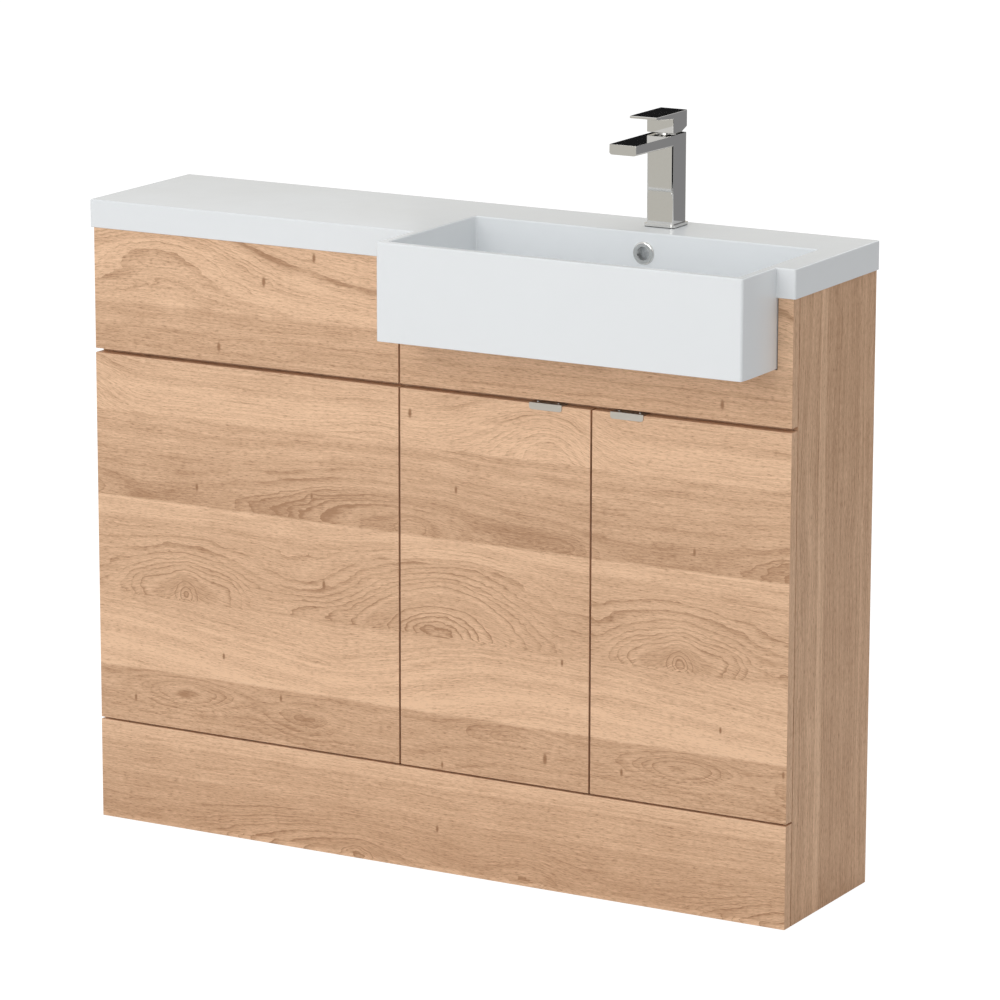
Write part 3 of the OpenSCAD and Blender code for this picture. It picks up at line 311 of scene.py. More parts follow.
# Darkness of the boards' ends and of the inner boards, and how dark growth lines are drawn on plain boards
END_TONE, INNER_TONE = 0.45, 0.36
UPRIGHT_DRAWN, INNER_DRAWN = 0.25, 0.2

# A knot's own marks in times its size: half widths and reach of the bend round it, half widths of its core
KNOT_BEND, KNOT_REACH, KNOT_CORE = (3.0, 1.6), 1.3, (0.5, 1.2)
KNOT_SHARE, STAIN_SHARE = 1.8, 0.18

# A face looks along an axis where its normal has more than this part along it
FACING = 0.7


def hill(tree, point, x, z, long, high):
    """A hill of height 1 at a place and at each repeat of the print, that falls off over its half widths."""
    half = looks().oak.repeat / 2
    away = vector_calc(tree, "SUBTRACT", point, (x * MM, z * MM, 0))
    away = vector_calc(tree, "WRAP", away, (half, 1, 1), (-half, -1, -1))
    scaled = vector_calc(tree, "MULTIPLY", away, (1 / (long * MM), 1 / (high * MM), 0))
    return calc(tree, "POWER", math.exp(-1), vector_calc(tree, "DOT_PRODUCT", scaled, scaled))


def oak_shader(tree, along, across, growth, lift, dark, drawn, knots=None):
    """The oak print: growth lines, darkest where drawn is near 1, clouds, fibres, flecks, pores and knots."""
    oak = looks().oak
    bands = noise(tree, growth, scale=BAND_RATE, detail=2.5, roughness=0.6, kind="1D")
    bands = spread(tree, bands, 0.3, 0.7, -0.5, 0.5)
    wander = calc(tree, "MULTIPLY", noise(tree, growth, scale=WANDER_RATE, kind="1D"), WANDER)
    line = calc(tree, "FRACT", calc(tree, "MULTIPLY_ADD", growth, oak.rings, wander))
    line = calc(tree, "SUBTRACT", calc(tree, "POWER", line, LINE_SHARPNESS), LINE_MEAN)
    cloud = layer(tree, along, across, CLOUD_RATES, detail=3, roughness=0.6)
    drift = calc(tree, "MULTIPLY_ADD", lift, 0.5, across)
    fibre = layer(tree, along, drift, FIBRE_RATES, roughness=0.6)
    fleck = layer(tree, along, drift, FLECK_RATES, roughness=0.7)
    strength = spread(tree, calc(tree, "MULTIPLY_ADD", cloud, CLOUD_ON_LINES, drawn), 0.05, 0.95,
                      LINE_FAINTEST, 1.0)
    for part, share in ((bands, BAND_SHARE), (line, strength), (cloud, CLOUD_SHARE), (fibre, FIBRE_SHARE),
                        (fleck, FLECK_SHARE)):
        dark = calc(tree, "MULTIPLY_ADD", part, share, dark)
    wood = blend_colours(tree, calc(tree, "MAXIMUM", dark, 0.0), tuple(oak.light), tuple(oak.streak))
    pores = calc(tree, "MULTIPLY", spread(tree, fleck, 0.07, 0.24), spread(tree, dark, 0.0, 0.9, 0.2, 0.65),
                 clamp=True)
    if knots is not None:
        mottled = spread(tree, fleck, -0.12, 0.12, 0.15, 0.75)
        pores = calc(tree, "MAXIMUM", pores, calc(tree, "MULTIPLY", knots, mottled), clamp=True)
    wood = blend_colours(tree, pores, wood, tuple(oak.pore))
    return {"Base Color": wood, "Roughness": spread(tree, pores, 0, 1, oak.roughness, oak.roughness + 0.15),
            "Normal": bump(tree, calc(tree, "SUBTRACT", 1.0, pores), PORE_DEPTH), "Specular IOR Level": 0.22}


def pushed(tree, along, across, waves):
    """How far waves push the growth lines aside."""
    lift = 0.0
    for long_rate, cross_rate, reach, start in waves:
        place = joined(tree, calc(tree, "MULTIPLY_ADD", along, long_rate, start),
                       calc(tree, "MULTIPLY", across, cross_rate))
        lift = calc(tree, "MULTIPLY_ADD", calc(tree, "SUBTRACT", noise(tree, place), 0.5), reach, lift)
    return lift


def face_place(tree, coordinates, grain):
    """Places along and across the grain on any face of a board whose grain runs along X or Z."""
    x, y, z = add(tree, "ShaderNodeSeparateXYZ", {"Vector": coordinates.outputs["Object"]}).outputs
    normal = add(tree, "ShaderNodeSeparateXYZ", {"Vector": coordinates.outputs["Normal"]}).outputs

    def looking(axis):
        return calc(tree, "GREATER_THAN", calc(tree, "ABSOLUTE", normal[axis]), FACING)

    def either(choice, first, second):
        return add(tree, "ShaderNodeMix", {0: choice, 2: first, 3: second}).outputs[0]

    if grain == "X":
        end = looking(0)
        return either(end, x, z), either(end, either(looking(2), z, y), y), end
    turned = looking(1)
    return z, either(turned, y, x), turned


def plank_tones(tree, height):
    """Darkness up the front, from the lower to the upper tone of each plank, with a jump at each seam."""
    stops, start = [], 0.0
    for top, lower, upper in (plank[:3] for plank in FRONT_PLANKS):
        stops += [(start, lower), (top * MM - SEAM, upper)]
        start = top * MM
    return ramp(tree, height, stops)


def plank_growth(tree, along, height, point):
    """The growth line through each place, how far it is lifted there, and how dark it is drawn."""
    bottoms = [0.0] + [plank[0] * MM for plank in FRONT_PLANKS[:-1]]

    def by_plank(numbers):
        return ramp(tree, height, zip(bottoms, numbers), "CONSTANT")

    away = calc(tree, "SUBTRACT", height, by_plank(plank[3] * MM for plank in FRONT_PLANKS))
    away = calc(tree, "SQRT", calc(tree, "MULTIPLY_ADD", away, away, AXIS_ROUND ** 2))
    lift = pushed(tree, along, height, FRONT_WAVES)
    drawn = 0.0
    for low, high, swells in FRONT_SWELLS:
        inside = calc(tree, "MULTIPLY", calc(tree, "GREATER_THAN", height, low * MM),
                      calc(tree, "LESS_THAN", height, high * MM))
        rise, dark = 0.0, 0.0
        for *where, up, line in swells:
            swell = hill(tree, point, *where)
            rise = calc(tree, "MULTIPLY_ADD", swell, -up * MM, rise)
            dark = calc(tree, "MULTIPLY_ADD", swell, line, dark)
        lift = calc(tree, "MULTIPLY_ADD", inside, rise, lift)
        drawn = calc(tree, "MULTIPLY_ADD", inside, dark, drawn)
    close = by_plank(plank[4] for plank in FRONT_PLANKS)
    shift = by_plank(SHIFT_STEP * number for number in range(len(bottoms)))
    growth = calc(tree, "MULTIPLY_ADD", shift, SHIFT_TIMES, calc(tree, "MULTIPLY_ADD", away, close, lift))
    return growth, lift, drawn


def oak_front(tree, coordinates):
    along, height, end = face_place(tree, coordinates, "X")
    point = joined(tree, along, height)
    growth, lift, drawn = plank_growth(tree, along, height, point)
    knots = 0.0
    for x, z, size in FRONT_KNOTS:
        bend = hill(tree, point, x, z, *(size * times for times in KNOT_BEND))
        growth = calc(tree, "MULTIPLY_ADD", bend, -KNOT_REACH * size * MM, growth)
        knots = calc(tree, "ADD", hill(tree, point, x, z, *(size * times for times in KNOT_CORE)), knots)
    dark = plank_tones(tree, height)
    for stain in FRONT_STAINS:
        dark = calc(tree, "MULTIPLY_ADD", hill(tree, point, *stain), STAIN_SHARE, dark)
    dark = calc(tree, "MULTIPLY_ADD", knots, KNOT_SHARE, dark)
    dark = calc(tree, "MAXIMUM", dark, calc(tree, "MULTIPLY", end, END_TONE))
    return oak_shader(tree, along, height, growth, lift, dark, drawn, knots)


def oak_upright(tree, coordinates):
    along, across = face_place(tree, coordinates, "Z")[:2]
    planks = ramp(tree, calc(tree, "ADD", across, UPRIGHT_START), UPRIGHT_PLANKS, "CONSTANT")
    lift = pushed(tree, along, across, UPRIGHT_WAVES)
    growth = calc(tree, "MULTIPLY_ADD", planks, UPRIGHT_SHIFT, calc(tree, "ADD", across, lift))
    return oak_shader(tree, along, across, growth, lift, planks, UPRIGHT_DRAWN)


def oak_inner(tree, coordinates):
    along, across = face_place(tree, coordinates, "X")[:2]
    lift = pushed(tree, along, across, INNER_WAVES)
    return oak_shader(tree, along, across, calc(tree, "ADD", across, lift), lift, INNER_TONE, INNER_DRAWN)


# Other finishes


def beech(tree, coordinates):
    place = vector_calc(tree, "MULTIPLY", coordinates.outputs["Object"], (60, 900, 900))
    share = spread(tree, noise(tree, place), 0.35, 0.65)
    return {"Base Color": blend_colours(tree, share, tint(206, 168, 122), tint(222, 188, 145)),
            "Roughness": 0.6}


def cast_resin(tree, coordinates):
    place = coordinates.outputs["Object"]
    clouds = noise(tree, place, scale=9, detail=3)
    white = tuple(looks().resin.white)
    return {"Base Color": blend_colours(tree, clouds, white, tuple(0.975 * part for part in white)),
            "Roughness": spread(tree, clouds, 0.3, 0.7, 0.20, 0.26), "Specular IOR Level": 0.4,
            "Normal": bump(tree, noise(tree, place, scale=55, detail=1), 0.04 * MM)}


def spotted(tree, grain, shade, darkest):
    """A shade with spots that are down to this part as bright."""
    return blend_colours(tree, grain, tuple(darkest * part for part in shade), tuple(shade))


def metal(shade, roughness, brush=None, depth=0.0, spot=900):
    """A metal whose roughness varies in fine spots, or in lines along the brush direction."""
    def build(tree, coordinates):
        place = coordinates.outputs["Object"]
        if brush:
            grain = noise(tree, vector_calc(tree, "MULTIPLY", place, brush))
        else:
            grain = noise(tree, place, scale=spot)
        made = {"Base Color": spotted(tree, grain, shade, 0.96), "Metallic": 1.0,
                "Roughness": spread(tree, grain, 0.3, 0.7, roughness * 0.85, roughness * 1.15)}
        if depth:
            made["Normal"] = bump(tree, grain, depth)
        return made
    return build


def plastic(shade, roughness):
    def build(tree, coordinates):
        grain = noise(tree, coordinates.outputs["Object"], scale=1600)
        return {"Base Color": spotted(tree, grain, shade, 0.94), "Normal": bump(tree, grain, 0.02 * MM),
                "Roughness": spread(tree, grain, 0.3, 0.7, roughness - 0.04, roughness + 0.04)}
    return build


def make_materials():
    """One material for each material slot of the record."""
    shades = looks().metal
    builders = {
        "oak_front": oak_front,
        "oak_side": oak_upright,
        "oak_carcass": oak_inner,
        "beech": beech,
        "cast_resin": cast_resin,
        "chrome": metal(shades.chrome, 0.035, spot=250),
        "bright_steel": metal(tint(196, 197, 200), 0.32, depth=0.02 * MM),
        "hinge_nickel": metal(shades.nickel, 0.24, brush=(300, 2500, 2500)),
        "satin_aluminium": metal(shades.aluminium, 0.42, brush=(60, 3000, 3000), depth=0.01 * MM),
        "grey_plastic": plastic(tint(92, 92, 94), 0.45),
        "white_plastic": plastic(tint(232, 232, 228), 0.35),
        "black_rubber": plastic(tint(28, 28, 28), 0.7),
        "brass": metal(tint(206, 172, 102), 0.28, brush=(900, 900, 60)),
        "clear_bumper": plastic(tint(222, 224, 224), 0.3),
    }
    for slot, build in builders.items():
        finish_material(FINISH + slot, build)


def material_of(slot):
    """The finish of a slot: the frame has its own plain materials under the slots' names."""
    if FINISH + slot not in bpy.data.materials:
        make_materials()
    return bpy.data.materials[FINISH + slot]


# Pieces


# Corners that turn by fewer degrees stay as they are, and so do edges shorter than these
CORNER = 50
BOARD_EDGE, LEVER_EDGE, HINGE_EDGE, PULL_EDGE = 12 * MM, 12 * MM, 5 * MM, 3 * MM


def linked(name, data):
    made = bpy.data.objects.new(name, data)
    bpy.context.collection.objects.link(made)
    return made


def solid_object(name, solid):
    """An object that takes over a solid."""
    mesh = bpy.data.meshes.new(name)
    solid.to_mesh(mesh)
    solid.free()
    return linked(name, mesh)


def merged(node):
    """The solid of a CAD node with its loose triangles joined into flat faces."""
    solid = bmesh.new()
    solid.from_mesh(frame["nodes"][node].data)
    bmesh.ops.remove_doubles(solid, verts=solid.verts, dist=SAME)
    bmesh.ops.dissolve_limit(solid, angle_limit=math.radians(0.3), verts=solid.verts, edges=solid.edges)
    return solid


def corner_of(edge):
    """True where two faces meet in a sharp outward corner."""
    return len(edge.link_faces) == 2 and edge.is_convex and edge.calc_face_angle(0) > math.radians(CORNER)


def longer_than(least):
    return lambda edge: edge.calc_length() > least


def at_height(edge, height):
    return all(abs(vert.co.z - height) < NEAR for vert in edge.verts)


def round_edges(solid, chosen, radius, segments=2, clamp=True):
    edges = [edge for edge in solid.edges if corner_of(edge) and chosen(edge)]
    if edges and radius > 0:
        bmesh.ops.bevel(solid, geom=edges, offset=radius, segments=segments, profile=0.5, affect="EDGES",
                        clamp_overlap=clamp)
        bmesh.ops.remove_doubles(solid, verts=solid.verts, dist=SAME)


def shade(mesh, limit):
    """Shading normals in which large faces stay flat and the roundings between them run smoothly."""
    around = [[] for vert in mesh.vertices]
    for face in mesh.polygons:
        for vert in face.vertices:
            around[vert].append(face)
    least = math.cos(math.radians(limit))
    normals = []
    for face in mesh.polygons:
        for vert in face.vertices:
            near = (other for other in around[vert] if other.normal.dot(face.normal) > least)
            blend = sum((other.normal * other.area ** 2 for other in near), Vector())
            normals.append(blend.normalized() if blend.length > 0 else face.normal.copy())
    mesh.shade_smooth()
    mesh.normals_split_custom_set(normals)


def finished(solid, node, smooth=30):
    """The piece that stands for a CAD node, smooth but for its corners, from a solid."""
    piece = solid_object("looks_" + node, solid)
    shade(piece.data, smooth)
    piece.data.materials.append(material_of(SLOT_OF[node]))
    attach(piece, BODY_OF[node])
    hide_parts(node)


def dressed(node, radius=0.0, least=0.0, segments=2, smooth=30):
    """Dress a CAD node in its place: a merged copy, with the edges of more than the least length rounded."""
    solid = merged(node)
    round_edges(solid, longer_than(least), radius, segments)
    finished(solid, node, smooth)


def dress_boards(*slots):
    for node, slot in SLOT_OF.items():
        if slot in slots:
            dressed(node, looks().oak.edge, BOARD_EDGE)


class Undoable:
    """What the operators have in common."""

    bl_options = {"REGISTER", "UNDO"}


class RUN_OT_boards(Undoable, bpy.types.Operator):
    """Dress the boards of both cabinets with softened edges"""

    bl_idname = "run.boards"
    bl_label = "Cabinet boards"

    def execute(self, context):
        dress_boards("oak_side", "oak_carcass")
        return {"FINISHED"}


class RUN_OT_fronts(Undoable, bpy.types.Operator):
    """Dress the doors, top panels, lower panel and plinth with softened edges"""

    bl_idname = "run.fronts"
    bl_label = "Fronts and plinth"

    def execute(self, context):
        dress_boards("oak_front")
        return {"FINISHED"}


class RUN_OT_worktop(Undoable, bpy.types.Operator):
    """Dress the cast worktop and basin with soft rims"""

    bl_idname = "run.worktop"
    bl_label = "Worktop and basin"

    def execute(self, context):
        low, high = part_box("worktop_basin")
        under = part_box("vanity_fascia")[1].z
        tap = sum(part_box("tap_body"), Vector()) / 2
        # Room left round the tap above and below, shortest outer edge, and the apron's back
        room_above, room_below, shortest, apron_back = 60 * MM, 175 * MM, 60 * MM, 80 * MM

        def off_tap(edge, distance):
            return all((vert.co - tap).to_2d().length > distance for vert in edge.verts)

        def rim(edge):
            return at_height(edge, high.z) and off_tap(edge, room_above)

        def lower(edge):
            apron = at_height(edge, low.z) and all(vert.co.y < apron_back for vert in edge.verts)
            outside = at_height(edge, under) and edge.calc_length() > shortest
            return apron or (outside and off_tap(edge, room_below))

        solid = merged("worktop_basin")
        round_edges(solid, rim, looks().resin.rim_edge, 4, clamp=False)
        round_edges(solid, lower, looks().resin.lower_edge, 3, clamp=False)
        finished(solid, "worktop_basin", 40)
        return {"FINISHED"}


class RUN_OT_tap(Undoable, bpy.types.Operator):
    """Dress the tap's body, lever, inner parts and fixing"""

    bl_idname = "run.tap"
    bl_label = "Tap"

    def execute(self, context):
        radius = looks().metal.tap_edge
        low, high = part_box("tap_body")
        shortest, lip_height = 0.4 * MM, 8 * MM

        def upper(edge):
            return at_height(edge, high.z) and edge.calc_length() > shortest

        def lip(edge):
            ends = [vert.co for vert in edge.verts]
            return all(abs(end.y - low.y) < NEAR for end in ends) and abs(ends[0].z - ends[1].z) > lip_height

        solid = merged("tap_body")
        round_edges(solid, lip, radius, 3, clamp=False)
        round_edges(solid, upper, radius, 3)
        finished(solid, "tap_body", 35)
        dressed("tap_lever", radius, LEVER_EDGE, 3, 35)
        for part in ("cartridge_nut", "aerator", "carrier", "cartridge", "gasket", "stud", "stud_nut",
                     "clamp_plate", "stem", "lever_screw"):
            dressed("tap_" + part)
        return {"FINISHED"}


class RUN_OT_waste(Undoable, bpy.types.Operator):
    """Dress the overflow trim, the waste and the bottle trap"""

    bl_idname = "run.waste"
    bl_label = "Waste and trap"

    def execute(self, context):
        for node in ("overflow_ring", "waste_body", "waste_nut", "waste_plug", "trap_inlet_nut", "trap_body",
                     "trap_cup", "trap_outlet_nut", "trap_outlet_pipe"):
            dressed(node)
        return {"FINISHED"}


class RUN_OT_hinges(Undoable, bpy.types.Operator):
    """Dress the plates, arms, cups, links and pins of the hinges"""

    bl_idname = "run.hinges"
    bl_label = "Hinges"

    def execute(self, context):
        for node, slot in SLOT_OF.items():
            if slot == "hinge_nickel":
                rounded = node in {"hinge_plates", "hinge_arms"}
                dressed(node, looks().metal.plate_edge if rounded else 0.0, HINGE_EDGE)
        return {"FINISHED"}


class RUN_OT_pulls(Undoable, bpy.types.Operator):
    """Dress the two lip pulls on the doors' upper edges"""

    bl_idname = "run.pulls"
    bl_label = "Door pulls"

    def execute(self, context):
        for node in ("door_left_pull", "door_right_pull"):
            dressed(node, looks().metal.plate_edge, PULL_EDGE)
        return {"FINISHED"}


class RUN_OT_fittings(Undoable, bpy.types.Operator):
    """Dress the dowels, clips, bolts, shelf pins and bumpers"""

    bl_idname = "run.fittings"
    bl_label = "Small fittings"

    def execute(self, context):
        for node in ("carcass_dowels", "panel_clips", "shelf_pins", "connecting_bolts", "door_left_bumpers",
                     "door_right_bumpers"):
            dressed(node)
        return {"FINISHED"}


# Screws


# How far screws lie from the middle of a hinge plate, a cup and a pull, how far a cup's lie in from the edge
# of the door and a plate's stand off the board, and where an arm's lie, as parts of its length
PLATE_REACH, CUP_REACH, PULL_REACH, CUP_INSET, PLATE_BASE = 16 * MM, 24 * MM, 16 * MM, 28 * MM, 2 * MM
ARM_SHARES = (0.62, 0.80)


def band(solid, lower, upper):
    """A ring of faces between two closed rows of points."""
    for n in range(len(lower)):
        m = (n + 1) % len(lower)
        solid.faces.new((lower[n], lower[m], upper[m], upper[n]))


def screw_head(around=24, arm=0.27, half=0.07, recess=0.15):
    """A pan head of diameter 1 with a cross recess, standing on z = 0."""
    solid = bmesh.new()
    levels = ((0.5, 0.0), (0.5, 0.10), (0.44, 0.20), (0.34, 0.26))
    turns = [2 * math.pi * n / around for n in range(around)]
    rings = [[solid.verts.new((radius * math.cos(turn), radius * math.sin(turn), height)) for turn in turns]
             for radius, height in levels]
    for lower, upper in zip(rings, rings[1:]):
        band(solid, lower, upper)
    solid.faces.new(list(reversed(rings[0])))
    cross = [(arm, -half), (arm, half), (half, half), (half, arm), (-half, arm), (-half, half), (-arm, half),
             (-arm, -half), (-half, -half), (-half, -arm), (half, -arm), (half, -half)]
    top = levels[-1][1]
    upper = [solid.verts.new((x, y, top)) for x, y in cross]
    lower = [solid.verts.new((0.8 * x, 0.8 * y, top - recess)) for x, y in cross]
    edges = []
    for loop in (rings[-1], upper):
        for n, vert in enumerate(loop):
            follow = loop[(n + 1) % len(loop)]
            edges.append(solid.edges.get((vert, follow)) or solid.edges.new((vert, follow)))
    bmesh.ops.triangle_fill(solid, use_beauty=True, edges=edges)
    band(solid, upper, lower)
    solid.faces.new(lower)
    bmesh.ops.recalc_face_normals(solid, faces=solid.faces)
    return solid_object("screw head", solid)


def new_tree(name, **inputs):
    """A Geometry Nodes tree with a geometry, these inputs and a finish, and the sockets that they give."""
    tree = bpy.data.node_groups.new(name, "GeometryNodeTree")
    for label, kind in {"Geometry": "Geometry", **inputs, "Finish": "Material"}.items():
        tree.interface.new_socket(label, in_out="INPUT", socket_type="NodeSocket" + kind)
    tree.interface.new_socket("Geometry", in_out="OUTPUT", socket_type="NodeSocketGeometry")
    return tree, tree.nodes.new("NodeGroupInput").outputs


def end_tree(tree, geometry, finish):
    """Close a tree: its instances made real, in their finish."""
    real = add(tree, "GeometryNodeRealizeInstances", {"Geometry": geometry.outputs[0]})
    painted = add(tree, "GeometryNodeSetMaterial", {"Geometry": real.outputs[0], "Material": finish})
    add(tree, "NodeGroupOutput", {0: painted.outputs[0]})
    return tree


def grown(name, tree, values, body, slot, mesh=None):
    """A piece that a tree makes from its input values and the points of a mesh, as a plain mesh on a body."""
    piece = linked(name, mesh or bpy.data.meshes.new(name))
    grow = piece.modifiers.new(tree.name, "NODES")
    grow.node_group = tree
    values = {**values, "Finish": material_of(slot)}
    for item in tree.interface.items_tree:
        if item.in_out == "INPUT" and item.name in values:
            grow[item.identifier] = values[item.name]
    made = bpy.data.meshes.new_from_object(piece.evaluated_get(bpy.context.evaluated_depsgraph_get()))
    piece.modifiers.clear()
    piece.data = made
    made.name = name
    made.shade_smooth()
    made.set_sharp_from_angle(angle=math.radians(35))
    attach(piece, body)


def scatter_tree():
    """A tree that sets one shape on every point, turned to the point's own axis."""
    tree, given = new_tree("Set on points", Shape="Object", Size="Float", Turn="Float", Seed="Int")
    shape = add(tree, "GeometryNodeObjectInfo", {"Object": given["Shape"]})
    axis = add(tree, "GeometryNodeInputNamedAttribute", {"Name": "axis"}, data_type="FLOAT_VECTOR")
    aligned = add(tree, "FunctionNodeAlignRotationToVector", {"Vector": axis.outputs["Attribute"]}, axis="Z")
    angle = add(tree, "FunctionNodeRandomValue", {"Max": given["Turn"], "Seed": given["Seed"]},
                data_type="FLOAT")
    spin = add(tree, "FunctionNodeAxisAngleToRotation", {"Axis": (0, 0, 1), "Angle": angle.outputs[1]})
    turned = add(tree, "FunctionNodeRotateRotation", {"Rotation": aligned.outputs[0],
                                                      "Rotate By": spin.outputs[0]}, rotation_space="LOCAL")
    return end_tree(tree, add(tree, "GeometryNodeInstanceOnPoints", {
        "Points": given["Geometry"], "Instance": shape.outputs["Geometry"], "Rotation": turned.outputs[0],
        "Scale": given["Size"]}), given["Finish"])


def rib_tree():
    """A tree that sets ribs in a circle, which lies at a place with its axis turned."""
    tree, given = new_tree("Ribs round a nut", Rib="Object", Count="Int", Radius="Float", Place="Vector",
                           Turn="Vector")
    shape = add(tree, "GeometryNodeObjectInfo", {"Object": given["Rib"]})
    circle = add(tree, "GeometryNodeMeshCircle", {"Vertices": given["Count"], "Radius": given["Radius"]})
    position = add(tree, "GeometryNodeInputPosition").outputs[0]
    x, y = add(tree, "ShaderNodeSeparateXYZ", {"Vector": position}).outputs[:2]
    placed = add(tree, "GeometryNodeInstanceOnPoints", {
        "Points": circle.outputs[0], "Instance": shape.outputs["Geometry"],
        "Rotation": joined(tree, z=calc(tree, "ARCTAN2", y, x))})
    return end_tree(tree, add(tree, "GeometryNodeTransform", {
        "Geometry": placed.outputs[0], "Translation": given["Place"], "Rotation": given["Turn"]}),
        given["Finish"])


def thread_tree():
    """A tree that winds a thread upwards from a place."""
    tree, given = new_tree("Thread on a rod", Radius="Float", Turns="Float", Length="Float", Ridge="Float",
                           Place="Vector")
    path = add(tree, "GeometryNodeCurveSpiral", {
        "Resolution": 24, "Rotations": given["Turns"], "Start Radius": given["Radius"],
        "End Radius": given["Radius"], "Height": given["Length"]})
    ridge = add(tree, "GeometryNodeCurvePrimitiveCircle", {"Resolution": 4, "Radius": given["Ridge"]})
    wound = add(tree, "GeometryNodeCurveToMesh", {"Curve": path.outputs[0], "Profile Curve": ridge.outputs[0],
                                                  "Fill Caps": True})
    return end_tree(tree, add(tree, "GeometryNodeTransform", {
        "Geometry": wound.outputs[0], "Translation": given["Place"]}), given["Finish"])


def set_on_points(name, shape, places, size, body, slot, turn, seed):
    """A piece of like shapes at a list of (place, axis)."""
    tree = bpy.data.node_groups.get("Set on points") or scatter_tree()
    mesh = bpy.data.meshes.new(name)
    mesh.from_pydata([place for place, axis in places], [], [])
    axes = mesh.attributes.new("axis", "FLOAT_VECTOR", "POINT")
    for number, (place, axis) in enumerate(places):
        axes.data[number].vector = axis
    grown(name, tree, {"Shape": shape, "Size": size, "Turn": turn, "Seed": seed}, body, slot, mesh)


def rib_shape(long, width, proud):
    """A half-round rib along Z that stands out towards X, with its foot sunk in."""
    solid = bmesh.new()
    for height, share in ((-long / 2, 0.4), (-long / 2 + proud, 1), (long / 2 - proud, 1), (long / 2, 0.4)):
        solid.verts.new((-proud, -width / 2, height))
        solid.verts.new((-proud, width / 2, height))
        for angle in (-90, -45, 0, 45, 90):
            turn = math.radians(angle)
            solid.verts.new((share * proud * math.cos(turn), width / 2 * math.sin(turn), height))
    hull = bmesh.ops.convex_hull(solid, input=solid.verts)
    bmesh.ops.delete(solid, geom=hull["geom_interior"], context="VERTS")
    bmesh.ops.recalc_face_normals(solid, faces=solid.faces)
    return solid_object("rib", solid)


def islands(node):
    """The boxes of a node's separate solids, as (lowest, highest) corners."""
    solid = merged(node)
    left, found = set(solid.verts), []
    while left:
        group, reach = [], [left.pop()]
        while reach:
            vert = reach.pop()
            group.append(vert.co.copy())
            near = left.intersection(edge.other_vert(vert) for edge in vert.link_edges)
            left -= near
            reach += near
        found.append([Vector(map(end, zip(*group))) for end in (min, max)])
    solid.free()
    return sorted(found, key=lambda box: tuple(box[0]))


class RUN_OT_screws(Undoable, bpy.types.Operator):
    """Put the screws on the hinge plates, arms and cups, and on the door pulls"""

    bl_idname = "run.screws"
    bl_label = "Screws"

    def execute(self, context):
        sizes = looks().screws
        head = screw_head()
        middle = (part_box("door_left")[1].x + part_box("door_right")[0].x) / 2

        def hinge_parts(node):
            """Box and centre of each part, and 1 where it looks right or -1 where it looks left."""
            for low, high in islands(node):
                yield low, high, (low + high) / 2, 1 if low.x < middle else -1

        def put(name, places, size, body, seed):
            set_on_points(name, head, places, size, body, "bright_steel", math.radians(90), sizes.seed + seed)

        plates, arms = [], []
        for low, high, centre, inward in hinge_parts("hinge_plates"):
            face = (low.x if inward > 0 else high.x) + inward * PLATE_BASE
            plates += [((face, centre.y, centre.z + side * PLATE_REACH), (inward, 0, 0)) for side in (-1, 1)]
        for low, high, centre, inward in hinge_parts("hinge_arms"):
            face = high.x if inward > 0 else low.x
            arms += [((face, low.y + (high.y - low.y) * share, centre.z), (inward, 0, 0))
                     for share in ARM_SHARES]
        put("plate_screws", plates, sizes.plate_head, "root", 0)
        put("arm_screws", arms, sizes.arm_head, "root", 1)
        for door in ("door_left", "door_right"):
            cups = []
            for low, high, centre, inward in hinge_parts(door + "_hinge_cups"):
                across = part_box(door)[0 if inward > 0 else 1].x + inward * CUP_INSET
                cups += [((across, high.y, centre.z + side * CUP_REACH), (0, 1, 0)) for side in (-1, 1)]
            put(door + "_cup_screws", cups, sizes.cup_head, BODY_OF[door + "_hinge_cups"], 2)
            low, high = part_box(door + "_pull")
            across, back = (low.x + high.x) / 2, (low.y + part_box(door)[1].y) / 2
            pull = [((across + side * PULL_REACH, back, high.z), (0, 0, 1)) for side in (-1, 1)]
            put(door + "_pull_screws", pull, sizes.pull_head, BODY_OF[door + "_pull"], 3)
        bpy.data.objects.remove(head)
        return {"FINISHED"}


class RUN_OT_ribs(Undoable, bpy.types.Operator):
    """Put grip ribs round the trap's nuts and a thread on the tap's fixing stud"""

    bl_idname = "run.ribs"
    bl_label = "Ribs and thread"

    def execute(self, context):
        sizes = looks().ribs
        tree = rib_tree()
        short, ridge = 4 * MM, 0.35 * sizes.pitch
        for node, axis, turn in (("trap_inlet_nut", 2, 0), ("trap_outlet_nut", 1, math.radians(90))):
            low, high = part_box(node)
            rib = rib_shape(high[axis] - low[axis] - short, sizes.width, sizes.proud)
            grown(node + "_ribs", tree, {"Rib": rib, "Count": sizes.count, "Radius": (high.x - low.x) / 2,
                                         "Place": tuple((low + high) / 2), "Turn": (turn, 0, 0)},
                  BODY_OF[node], "chrome")
            bpy.data.objects.remove(rib)
        low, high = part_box("tap_stud")
        middle = (low + high) / 2
        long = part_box("tap_clamp_plate")[1].z - low.z - MM
        grown("tap_stud_thread", thread_tree(), {
            "Radius": (high.x - low.x) / 2 + sizes.depth - ridge, "Turns": long / sizes.pitch,
            "Length": long, "Ridge": ridge, "Place": (middle.x, middle.y, low.z + MM / 2)},
            BODY_OF["tap_stud"], "bright_steel")
        return {"FINISHED"}


# Stage, with places in metres

# The camera: width of its picture and its lens in millimetres, its place, and its yaw, pitch and roll
PICTURE, LENS = 36, 181.92
CAMERA_PLACE = (3.40923, -5.92610, 2.08242)
CAMERA_TURNS = (29.42439, 12.90194, 0.12869)

